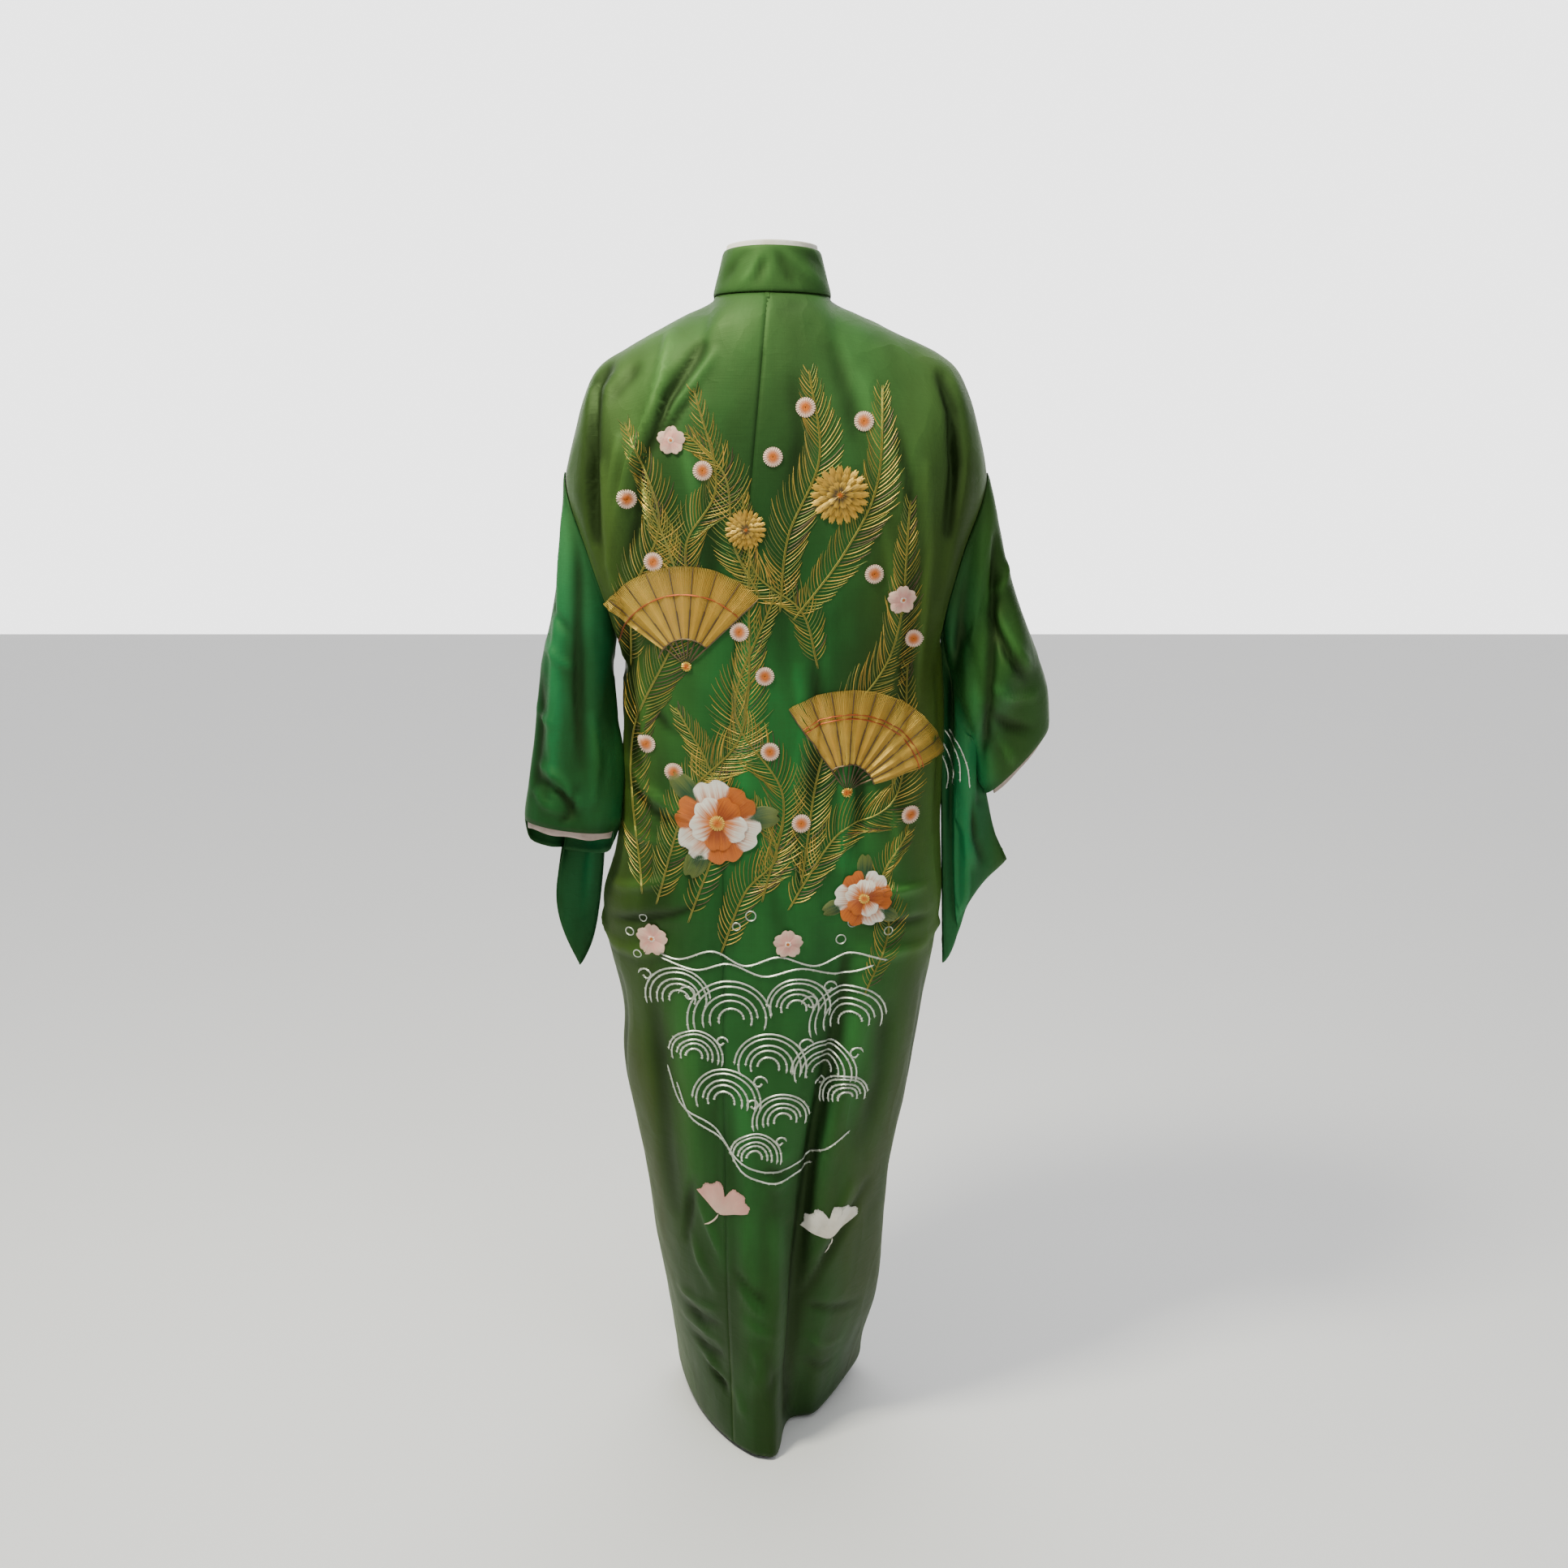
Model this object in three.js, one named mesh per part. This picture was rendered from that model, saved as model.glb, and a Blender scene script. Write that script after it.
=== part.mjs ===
// A worn kimono, in millimetres, with the front at -Y, the back at +Y and the wearer's left at +X.
// Heights are measured from the lowest point of the hem; the whole model is then moved down so that
// the origin lies in the middle of the neck base, where the shoulders carry the garment.
// Every piece is a wall of cloth: an outer surface, the same surface moved in, and a rim round its edges.
import * as THREE from 'three';

const NECK_BASE_HEIGHT = 1480;
const WALL = 1.6;
const COLLAR_WALL = 2.4;
const LINING_WALL = 1.2;
const HALF_SEAM_GAP = 0.2;
const COLLAR_SEAM_GAP = 0.25;

// Heights of the body
const ARMPIT_HEIGHT = 1075;
const SLEEVE_TOP_HEIGHT = 1285;
const NECK_SIDE_HEIGHT = 1490;
const NECK_BACK_HEIGHT = 1497;
const OKUMI_TIP_HEIGHT = 1250;
const COLLAR_END_HEIGHT = 800;

// The neck opening, the collar and the rounding of the shoulders
const NECK_LEFT = 66;
const NECK_RIGHT = 76;
const NECK_BACK_DEPTH = 58;
const COLLAR_WIDTH = 55;
const COLLAR_SIDE_LEAN = 0.26;
const COLLAR_BACK_LEAN = 0.16;
const SHOULDER_ROUND = 150;
const ARMHOLE_DEPTH = 48;
const ARMHOLE_ROUND = 90;
const FRONT_POWER = 2.3;
const ARMHOLE_EDGE_POWER = 6;
const SIDE_CALM_POWER = 8;
const FOLD_END = 0.12;
const RECESS_RAMP = 12;
const SHOULDER_EASE = 0.75;

// The hem rises by this much at the front, and not at all at the back or above the given height
const HEM_LIFT = 14;
const HEM_LIFT_TOP = 300;
const HEM_LIFT_BACK = 60;
const HEM_LIFT_FRONT = -110;

// The wrap: how far the right front lies inside the left one, and the ramp that takes it there
const WRAP_DEPTH = 6.5;
const WRAP_RAMP_START = 24;
const WRAP_RAMP_END = 7;
const SLOPE_STEP = 2;

// The collar stands at the neck, lies on the chest, and turns from one to the other between two heights
const COLLAR_STANDS_HEIGHT = 1482;
const COLLAR_LIES_HEIGHT = 1415;
const NECK_WIDENS_HEIGHT = 1380;
const COLLAR_FRONT_LEAN = 0.08;
const COLLAR_END_STEP = 1.2;
const COLLAR_END_CLEAR = 10;
const EDGE_TOP = [
  { height: 1445, across: 6 },
  { height: 1500, across: 60 },
];

// The sleeves: how soon the armhole's form turns into the sleeve's own, how round it is, and its seam
const SLEEVE_GROWS = 0.22;
const SLEEVE_ROUND = 0.8;
const SAG_ROUND = 0.35;
const SLEEVE_SEAM_OUT = 0.9;
const SLEEVE_ARMPIT_OUT = 2;
const WIDE_ROOT = 12;
const NARROW_ROOT = 4;
const POUCH_NARROWS = 0.8;
const POUCH_BOTTOM = 4;
const ROOT_TURN = 0.95;

// Grids
const NECK_COLUMNS = 5;
const SHOULDER_COLUMNS = 9;
const OKUMI_COLUMNS = 4;
const COLLAR_COLUMNS = 4;
const SLEEVE_RINGS = 16;
const POUCH_STEPS = 5;
const LOWER_ROWS = [
  0, 28, 60, 100, 145, 195, 245, 295, 345, 395, 445, 495, 540, 580, 618, 652, 682, 706,
  726, 746, 768, 800, 842, 890, 940, 990, 1035, ARMPIT_HEIGHT,
];
const UPPER_ROWS = [0.08, 0.19, 0.32, 0.46, 0.59, 0.71, 0.81, 0.895, 0.955, 1];
const OKUMI_UPPER_ROWS = [1120, 1165, 1205, OKUMI_TIP_HEIGHT - 14];

// Sections of the body by height: the half-widths to the left and right, how far the cloth stands
// behind and before the middle, where along Y the sides are, how square the back is, and where the
// centre-back seam runs.
const SECTIONS = [
  { height: 0, left: 134, right: 130, back: 147, front: 128, side: -96, power: 1.5, seam: 50 },
  { height: 50, left: 137, right: 134, back: 140, front: 127, side: -84, power: 1.55, seam: 51 },
  { height: 100, left: 141, right: 147, back: 134, front: 125, side: -72, power: 1.6, seam: 52 },
  { height: 150, left: 146, right: 154, back: 130, front: 123, side: -60, power: 1.7, seam: 54 },
  { height: 250, left: 160, right: 158, back: 124, front: 119, side: -42, power: 1.9, seam: 57 },
  { height: 350, left: 168, right: 163, back: 120, front: 116, side: -28, power: 2.1, seam: 58 },
  { height: 450, left: 186, right: 182, back: 118, front: 114, side: -18, power: 2.2, seam: 58 },
  { height: 525, left: 197, right: 192, back: 118, front: 114, side: -12, power: 2.3, seam: 58 },
  { height: 590, left: 191, right: 201, back: 119, front: 115, side: -8, power: 2.3, seam: 58 },
  { height: 640, left: 202, right: 208, back: 121, front: 116, side: -5, power: 2.3, seam: 57 },
  { height: 700, left: 214, right: 215, back: 123, front: 118, side: -2, power: 2.3, seam: 57 },
  { height: 745, left: 216, right: 218, back: 124, front: 119, side: 0, power: 2.3, seam: 56 },
  { height: 800, left: 196, right: 214, back: 120, front: 119, side: 0, power: 2.3, seam: 56 },
  { height: 860, left: 186, right: 213, back: 114, front: 118, side: 0, power: 2.3, seam: 56 },
  { height: 950, left: 184, right: 215, back: 110, front: 118, side: 0, power: 2.3, seam: 52 },
  { height: 1075, left: 188, right: 213, back: 115, front: 123, side: 0, power: 2.3, seam: 40 },
  { height: 1180, left: 217, right: 234, back: 119, front: 123, side: 0, power: 2.3, seam: 29 },
  { height: 1285, left: 249, right: 268, back: 118, front: 119, side: 0, power: 2.3, seam: 19 },
  { height: 1400, left: 252, right: 271, back: 108, front: 114, side: 0, power: 2.3, seam: 8 },
  { height: 1500, left: 252, right: 271, back: 96, front: 110, side: 0, power: 2.3, seam: 0 },
];

// The shoulder line from the neck to the sleeve seam: its height above each point across, per side.
const LEFT_SHOULDER = [
  { across: 0, height: 1500 },
  { across: NECK_LEFT, height: NECK_SIDE_HEIGHT },
  { across: 100, height: 1477 },
  { across: 130, height: 1460 },
  { across: 163, height: 1441 },
  { across: 199, height: 1421 },
  { across: 216, height: 1402 },
  { across: 228, height: 1363 },
  { across: 239, height: 1325 },
  { across: 249, height: SLEEVE_TOP_HEIGHT },
];
const RIGHT_SHOULDER = [
  { across: 0, height: 1500 },
  { across: NECK_RIGHT, height: NECK_SIDE_HEIGHT },
  { across: 106, height: 1479 },
  { across: 146, height: 1459 },
  { across: 188, height: 1440 },
  { across: 221, height: 1421 },
  { across: 239, height: 1402 },
  { across: 250, height: 1363 },
  { across: 259, height: 1325 },
  { across: 268, height: SLEEVE_TOP_HEIGHT },
];

// The front lines of the outer, left front, as places across by height: the collar seam, the seam
// between body and overlap panel, and the free edge below the collar's end.
const COLLAR_SEAM = [
  { height: COLLAR_END_HEIGHT, across: -118 },
  { height: 950, across: -104 },
  { height: 1100, across: -76 },
  { height: OKUMI_TIP_HEIGHT, across: -32 },
  { height: 1330, across: 0 },
  { height: 1400, across: 31 },
  { height: 1450, across: 54 },
  { height: NECK_SIDE_HEIGHT, across: NECK_LEFT },
];
const OKUMI_SEAM = [
  { height: 0, across: -8 },
  { height: 400, across: -12 },
  { height: 800, across: -18 },
  { height: 1075, across: -24 },
  { height: OKUMI_TIP_HEIGHT, across: -32 },
];
const FREE_EDGE = [
  { height: 0, across: -104 },
  { height: 150, across: -114 },
  { height: 350, across: -128 },
  { height: 550, across: -154 },
  { height: 745, across: -174 },
  { height: COLLAR_END_HEIGHT, across: -173 },
];

// The largest folds of the back, each a ridge (out) or a trough (in) along a line of three points
// (across, height), with its half-width and how far it stands out.
const BACK_FOLDS = [
  { name: 'left shoulder blade ridge', a: [118, 1425], b: [140, 1320], c: [178, 1215], width: 13, out: 9 },
  { name: 'left shoulder blade trough', a: [145, 1400], b: [163, 1310], c: [188, 1190], width: 12, out: -9 },
  { name: 'left armhole trough', a: [214, 1330], b: [205, 1230], c: [190, 1130], width: 10, out: -10 },
  { name: 'left side trough', a: [172, 1160], b: [168, 1060], c: [172, 940], width: 13, out: -9 },
  { name: 'right armhole trough', a: [-226, 1350], b: [-205, 1240], c: [-190, 1120], width: 12, out: -12 },
  { name: 'right armhole ridge', a: [-188, 1370], b: [-178, 1250], c: [-172, 1080], width: 15, out: 6 },
  { name: 'left hip ridge', a: [206, 742], b: [165, 752], c: [110, 764], width: 13, out: 9 },
  { name: 'left hip trough', a: [206, 712], b: [160, 720], c: [112, 730], width: 12, out: -9 },
  { name: 'right hip ridge', a: [-206, 744], b: [-165, 750], c: [-104, 752], width: 13, out: 9 },
  { name: 'right hip trough', a: [-206, 714], b: [-160, 718], c: [-108, 718], width: 12, out: -9 },
  { name: 'left hem trough', a: [90, 150], b: [66, 90], c: [40, 40], width: 14, out: -9 },
  { name: 'left leg ridge', a: [70, 420], b: [40, 300], c: [15, 150], width: 18, out: 7 },
];

// The long fold that parts the two lobes of the hem, and how far the right lobe hangs back.
const PARTING_FOLD = [
  { height: 0, across: -28, depth: 62, width: 13, recess: 48 },
  { height: 60, across: -30, depth: 48, width: 15, recess: 38 },
  { height: 200, across: -32, depth: 32, width: 16, recess: 26 },
  { height: 380, across: -38, depth: 22, width: 17, recess: 10 },
  { height: 520, across: -70, depth: 15, width: 17, recess: 0 },
  { height: 700, across: -88, depth: 13, width: 17, recess: 0 },
  { height: 900, across: -97, depth: 9, width: 18, recess: 0 },
  { height: 1010, across: -102, depth: 0, width: 18, recess: 0 },
];

// The sleeves by station, from the armhole to the cuff. The lines are the top fold, the inner side under
// the arm and the lowest point of the hanging pouch. The depths are the middle and the reach of the round
// part along Y, how far the front sags below the back, and how far the pouch bows outwards.
const LEFT_SLEEVE = {
  side: 1,
  pouchAt: 0.42,
  innerSteps: 4,
  pouchHalf: 6,
  lines: [
    { at: 0, topX: 249, topZ: 1285, inX: 190, inZ: 1072, tipX: 225, tipZ: 1120 },
    { at: 0.15, topX: 254, topZ: 1214, inX: 194, inZ: 1042, tipX: 229, tipZ: 1085 },
    { at: 0.35, topX: 267, topZ: 1124, inX: 194, inZ: 1002, tipX: 232, tipZ: 1020 },
    { at: 0.55, topX: 286, topZ: 1046, inX: 193, inZ: 960, tipX: 226, tipZ: 920 },
    { at: 0.72, topX: 294, topZ: 966, inX: 191, inZ: 918, tipX: 216, tipZ: 812 },
    { at: 0.86, topX: 302, topZ: 906, inX: 191, inZ: 878, tipX: 224, tipZ: 722 },
    { at: 0.94, topX: 306, topZ: 880, inX: 193, inZ: 856, tipX: 234, tipZ: 668 },
    { at: 1, topX: 309, topZ: 856, inX: 196, inZ: 840, tipX: 250, tipZ: 641 },
  ],
  depths: [
    { at: 0, mid: 0, back: 48, front: 48, drop: 0, bow: 0 },
    { at: 0.15, mid: 2, back: 52, front: 50, drop: 0, bow: 0 },
    { at: 0.35, mid: 6, back: 55, front: 52, drop: 4, bow: 0 },
    { at: 0.55, mid: 13, back: 50, front: 52, drop: 8, bow: 0 },
    { at: 0.72, mid: 20, back: 48, front: 52, drop: 16, bow: 0 },
    { at: 0.86, mid: 28, back: 44, front: 52, drop: 30, bow: 4 },
    { at: 0.94, mid: 32, back: 42, front: 50, drop: 42, bow: 12 },
    { at: 1, mid: 36, back: 40, front: 48, drop: 52, bow: 20 },
  ],
};
const RIGHT_SLEEVE = {
  side: -1,
  pouchAt: 1,
  innerSteps: 0,
  pouchHalf: 7,
  lines: [
    { at: 0, topX: -268, topZ: 1285, inX: -216, inZ: 1082, tipX: -228, tipZ: 648 },
    { at: 0.15, topX: -278, topZ: 1244, inX: -222, inZ: 1064, tipX: -233, tipZ: 655 },
    { at: 0.3, topX: -289, topZ: 1202, inX: -231, inZ: 1040, tipX: -242, tipZ: 676 },
    { at: 0.48, topX: -304, topZ: 1146, inX: -244, inZ: 1006, tipX: -251, tipZ: 714 },
    { at: 0.62, topX: -321, topZ: 1096, inX: -256, inZ: 976, tipX: -261, tipZ: 741 },
    { at: 0.76, topX: -340, topZ: 1052, inX: -266, inZ: 942, tipX: -279, tipZ: 763 },
    { at: 0.9, topX: -353, topZ: 1008, inX: -272, inZ: 905, tipX: -298, tipZ: 780 },
    { at: 1, topX: -356, topZ: 966, inX: -275, inZ: 878, tipX: -307, tipZ: 787 },
  ],
  depths: [
    { at: 0, mid: 0, back: 50, front: 48, drop: 0, bow: 0 },
    { at: 0.15, mid: 0, back: 44, front: 50, drop: 0, bow: 0 },
    { at: 0.3, mid: -2, back: 40, front: 50, drop: 0, bow: 0 },
    { at: 0.48, mid: 4, back: 52, front: 48, drop: 0, bow: 0 },
    { at: 0.62, mid: 16, back: 58, front: 56, drop: 0, bow: 0 },
    { at: 0.76, mid: 4, back: 46, front: 50, drop: 0, bow: 0 },
    { at: 0.9, mid: -6, back: 46, front: 46, drop: 0, bow: 0 },
    { at: 1, mid: -10, back: 44, front: 44, drop: 0, bow: -6 },
  ],
};

// The linings, how far each shows past its edge, and the uneven edge of those at the cuffs
const LINING_INSET = 0.4;
const LINING_WAVE = 0.2;
const LINING_WAVE_TURN = 2.1;
const LEFT_CUFF_LINING_SHOWS = 11;
const RIGHT_CUFF_LINING_SHOWS = 5;
const COLLAR_LINING_SHOWS = 3.5;

const SILK = { color: 0x1d5a2c, roughness: 0.42 };
const COLLAR_SILK = { color: 0x2a6a34, roughness: 0.45 };
const PALE_LINING = { color: 0xe9e2cf, roughness: 0.8 };
const PINK_LINING = { color: 0xcfb3a4, roughness: 0.7 };

function mix(a, b, share) {
  return a + (b - a) * share;
}

function smoothStep(from, to, value) {
  const t = Math.min(1, Math.max(0, (value - from) / (to - from)));
  return t * t * (3 - 2 * t);
}

// A smooth curve through one column of a table, without overshoot between rows.
function curveThrough(rows, key, column) {
  const last = rows.length - 1;
  const slopes = [];
  for (let i = 0; i < last; i += 1) {
    slopes.push((rows[i + 1][column] - rows[i][column]) / (rows[i + 1][key] - rows[i][key]));
  }
  const tangents = rows.map((row, i) => {
    if (i === 0) return slopes[0];
    if (i === last) return slopes[last - 1];
    const product = slopes[i - 1] * slopes[i];
    return product <= 0 ? 0 : (2 * product) / (slopes[i - 1] + slopes[i]);
  });
  return (place) => {
    const x = Math.min(rows[last][key], Math.max(rows[0][key], place));
    let i = 0;
    while (i < last - 1 && x > rows[i + 1][key]) i += 1;
    const span = rows[i + 1][key] - rows[i][key];
    const t = (x - rows[i][key]) / span;
    const t2 = t * t;
    const t3 = t2 * t;
    return (
      rows[i][column] * (2 * t3 - 3 * t2 + 1) +
      tangents[i] * span * (t3 - 2 * t2 + t) +
      rows[i + 1][column] * (3 * t2 - 2 * t3) +
      tangents[i + 1] * span * (t3 - t2)
    );
  };
}

function columnsOf(rows, key) {
  const curves = {};
  for (const column of Object.keys(rows[0])) {
    if (column !== key) curves[column] = curveThrough(rows, key, column);
  }
  return curves;
}

const section = columnsOf(SECTIONS, 'height');
const parting = columnsOf(PARTING_FOLD, 'height');
const collarSeamAcross = curveThrough(COLLAR_SEAM, 'height', 'across');
const okumiSeamAcross = curveThrough(OKUMI_SEAM, 'height', 'across');
const freeEdgeAcross = curveThrough(FREE_EDGE, 'height', 'across');
const shoulderHeight = {
  left: curveThrough(LEFT_SHOULDER, 'across', 'height'),
  right: curveThrough(RIGHT_SHOULDER, 'across', 'height'),
};

// A sheet of cloth that grows a wall: points of its outer face, and quads that face outwards.
class Cloth {
  constructor(wall) {
    this.wall = wall;
    this.points = [];
    this.triangles = [];
  }

  point(x, y, z) {
    this.points.push(new THREE.Vector3(x, y, z));
    return this.points.length - 1;
  }

  grid(rows, flip) {
    for (let i = 0; i + 1 < rows.length; i += 1) {
      for (let j = 0; j + 1 < rows[i].length; j += 1) {
        const corners = [rows[i][j], rows[i + 1][j], rows[i + 1][j + 1], rows[i][j + 1]];
        if (flip) corners.reverse();
        const [a, b, c, d] = corners;
        if (a !== b && b !== c && c !== a) this.triangles.push([a, b, c]);
        if (a !== c && c !== d && d !== a) this.triangles.push([a, c, d]);
      }
    }
  }

  normals() {
    const sums = this.points.map(() => new THREE.Vector3());
    for (const [a, b, c] of this.triangles) {
      const edge = this.points[b].clone().sub(this.points[a]);
      const face = edge.cross(this.points[c].clone().sub(this.points[a]));
      for (const corner of [a, b, c]) sums[corner].add(face);
    }
    return sums.map((sum) => sum.normalize());
  }

  // The solid of this cloth, or of some of its triangles. Pieces of one cloth share its normals, so
  // that their walls meet face to face.
  mesh(name, finish, triangles = this.triangles) {
    const normals = this.normals();
    const used = [...new Set(triangles.flat())];
    const count = used.length;
    const order = new Map(used.map((point, i) => [point, i]));
    const outer = used.map((point) => this.points[point]);
    const inner = used.map((point, i) => outer[i].clone().addScaledVector(normals[point], -this.wall));
    const faces = [];
    const edges = new Set();
    for (const [a, b, c] of triangles) {
      const [i, j, k] = [a, b, c].map((point) => order.get(point));
      faces.push([i, j, k], [i + count, k + count, j + count]);
      edges.add(`${a} ${b}`).add(`${b} ${c}`).add(`${c} ${a}`);
    }
    for (const edge of edges) {
      const [a, b] = edge.split(' ').map(Number);
      if (edges.has(`${b} ${a}`)) continue;
      const [i, j] = [order.get(a), order.get(b)];
      if (a < b) faces.push([j, i, i + count], [j, i + count, j + count]);
      else faces.push([j, i, j + count], [i, i + count, j + count]);
    }
    const geometry = new THREE.BufferGeometry().setFromPoints([...outer, ...inner]);
    geometry.setIndex(faces.flat());
    const material = new THREE.MeshStandardMaterial({ ...finish, metalness: 0 });
    const mesh = new THREE.Mesh(geometry, material);
    mesh.name = name;
    return mesh;
  }
}

// Half-width of the body at a height, on the side that a place across lies on.
function halfWidth(x, z) {
  return x >= 0 ? section.left(z) : section.right(z);
}

function roundCap(fall) {
  const t = Math.min(1, Math.max(0, fall));
  return Math.sqrt(1 - (1 - t) * (1 - t));
}

// How deep the armhole edge stands from the middle, nothing at the armpit and below it.
function armholeDepth(z) {
  return ARMHOLE_DEPTH * roundCap((z - ARMPIT_HEIGHT) / ARMHOLE_ROUND);
}

function foldProfile(distance, width) {
  return Math.exp(-(distance * distance) / (width * width));
}

// Distance from a point to a fold's line, and how near the point is to the fold's ends (0 to 1).
function distanceToFold(fold, x, z) {
  let best = { distance: Infinity, along: 0 };
  const legs = [
    [...fold.a, ...fold.b, 0],
    [...fold.b, ...fold.c, 0.5],
  ];
  for (const [x0, z0, x1, z1, start] of legs) {
    const length2 = (x1 - x0) ** 2 + (z1 - z0) ** 2;
    const t = Math.min(1, Math.max(0, ((x - x0) * (x1 - x0) + (z - z0) * (z1 - z0)) / length2));
    const distance = Math.hypot(x - mix(x0, x1, t), z - mix(z0, z1, t));
    if (distance < best.distance) best = { distance, along: start + t / 2 };
  }
  return best;
}

function backFolds(x, z) {
  let out = 0;
  for (const fold of BACK_FOLDS) {
    const { distance, along } = distanceToFold(fold, x, z);
    const taper = Math.sin(Math.PI * mix(FOLD_END, 1 - FOLD_END, along));
    out += fold.out * taper * foldProfile(distance, fold.width);
  }
  const across = parting.across(z);
  out -= parting.depth(z) * foldProfile(x - across, parting.width(z));
  out -= parting.recess(z) * smoothStep(across + RECESS_RAMP, across - RECESS_RAMP, x);
  return out;
}

// How far the back stands out at a place across and a height, below the rounding of the shoulders.
function backFall(x, z) {
  const share = Math.min(1, Math.abs(x) / halfWidth(x, z));
  const power = section.power(z);
  const side = section.side(z);
  const round = (1 - share ** power) ** (1 / power);
  const edge = armholeDepth(z) * share ** ARMHOLE_EDGE_POWER;
  const folds = backFolds(x, z) * (1 - share ** SIDE_CALM_POWER);
  return side + (section.back(z) - side) * round + edge + folds;
}

function frontFall(x, z) {
  const share = Math.min(1, Math.abs(x) / halfWidth(x, z));
  const side = -section.side(z);
  const round = (1 - share ** FRONT_POWER) ** (1 / FRONT_POWER);
  return side + (section.front(z) - side) * round + armholeDepth(z) * share ** ARMHOLE_EDGE_POWER;
}

// Y of the front surface, which rounds over the shoulder line.
function frontY(x, z) {
  const top = x >= 0 ? shoulderHeight.left(x) : shoulderHeight.right(-x);
  return -frontFall(x, z) * roundCap((top - z) / SHOULDER_ROUND);
}

// The hem rises a little towards the front.
function hemLift(z, y) {
  return HEM_LIFT * (1 - smoothStep(0, HEM_LIFT_TOP, z)) * smoothStep(HEM_LIFT_BACK, HEM_LIFT_FRONT, y);
}

function neckHalfWidth(side) {
  return side > 0 ? NECK_LEFT : NECK_RIGHT;
}

// Columns of the shoulder line on one side, from the neck to the sleeve seam.
function shoulderPoint(side, share) {
  const height = side > 0 ? shoulderHeight.left : shoulderHeight.right;
  const end = halfWidth(side, SLEEVE_TOP_HEIGHT);
  const eased = mix(share, Math.sin((share * Math.PI) / 2), SHOULDER_EASE);
  const across = mix(neckHalfWidth(side), end, eased);
  return { x: side * across, z: share === 1 ? SLEEVE_TOP_HEIGHT : height(across) };
}

function armholeAcross(side, z) {
  return side * halfWidth(side, z);
}

function angleOf(x, z) {
  return Math.asin(Math.max(-1, Math.min(1, x / halfWidth(x, z))));
}

function acrossAt(angle, z) {
  return Math.sin(angle) * halfWidth(angle, z);
}

function upperHeight(top, share) {
  return mix(ARMPIT_HEIGHT, top, share);
}

// The outer points of the back of one body panel, row by row from the hem to the neck and shoulder.
function backRows(cloth, side) {
  const columns = NECK_COLUMNS + SHOULDER_COLUMNS;
  const rows = [];
  for (const height of LOWER_ROWS) {
    const seam = angleOf(section.seam(height) + side * HALF_SEAM_GAP, height);
    const row = [];
    for (let j = 0; j <= columns; j += 1) {
      const angle = mix(seam, (side * Math.PI) / 2, j / columns);
      const x = acrossAt(angle, height);
      const y = backFall(x, height);
      row.push(cloth.point(x, y, height + hemLift(height, y)));
    }
    rows.push(row);
  }
  const base = LOWER_ROWS.length - 1;
  for (const share of UPPER_ROWS) {
    const row = [];
    const edgeHeight = upperHeight(SLEEVE_TOP_HEIGHT, share);
    const edge = armholeAcross(side, edgeHeight);
    for (let j = 0; j <= columns; j += 1) {
      const neck = Math.min(1, j / NECK_COLUMNS) * (Math.PI / 2);
      const shoulder = shoulderPoint(side, Math.max(0, j - NECK_COLUMNS) / SHOULDER_COLUMNS);
      const onNeck = j < NECK_COLUMNS;
      const topX = onNeck ? side * neckHalfWidth(side) * Math.sin(neck) : shoulder.x;
      const topY = onNeck ? NECK_BACK_DEPTH * Math.cos(neck) : 0;
      const topZ = onNeck ? mix(NECK_BACK_HEIGHT, NECK_SIDE_HEIGHT, 1 - Math.cos(neck)) : shoulder.z;
      const low = cloth.points[rows[base][j]].x / armholeAcross(side, ARMPIT_HEIGHT);
      const high = topX / armholeAcross(side, SLEEVE_TOP_HEIGHT);
      const z = upperHeight(topZ, share);
      let x = mix(low, high, share) * edge;
      if (j === 0) x = section.seam(z) + side * HALF_SEAM_GAP;
      const y = mix(topY, backFall(x, z), roundCap((topZ - z) / SHOULDER_ROUND));
      row.push(cloth.point(x, share === 1 ? topY : y, z));
    }
    rows.push(row);
  }
  return rows;
}

// How far the right front is held in: not at all outside the left front's free edge, fully inside it.
function wrapInset(x, z) {
  return WRAP_DEPTH * smoothStep(WRAP_RAMP_START, WRAP_RAMP_END, leftFreeEdge(z) - x);
}

// A point of the front surface, on the left front or, held in where it is covered, the right one.
function frontPoint(side, x, z) {
  const place = new THREE.Vector3(x, frontY(x, z), z);
  if (side < 0) {
    const slopeX = (frontY(x + SLOPE_STEP, z) - frontY(x - SLOPE_STEP, z)) / (2 * SLOPE_STEP);
    const slopeZ = (frontY(x, z + SLOPE_STEP) - frontY(x, z - SLOPE_STEP)) / (2 * SLOPE_STEP);
    const inward = new THREE.Vector3(-slopeX, 1, -slopeZ).normalize();
    place.addScaledVector(inward, wrapInset(x, z));
  }
  place.z += hemLift(z, place.y);
  return place;
}

// The front lines are given for the left front, and the right front mirrors them but for the neck,
// which is wider on the right.
function collarSeam(side, z) {
  const wider = (NECK_RIGHT - NECK_LEFT) * smoothStep(NECK_WIDENS_HEIGHT, NECK_SIDE_HEIGHT, z);
  return side * (collarSeamAcross(z) + (side < 0 ? wider : 0));
}

function innerEdge(side, z) {
  const seam = z >= OKUMI_TIP_HEIGHT ? collarSeam(side, z) : side * okumiSeamAcross(z);
  return seam + side * HALF_SEAM_GAP;
}

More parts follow.
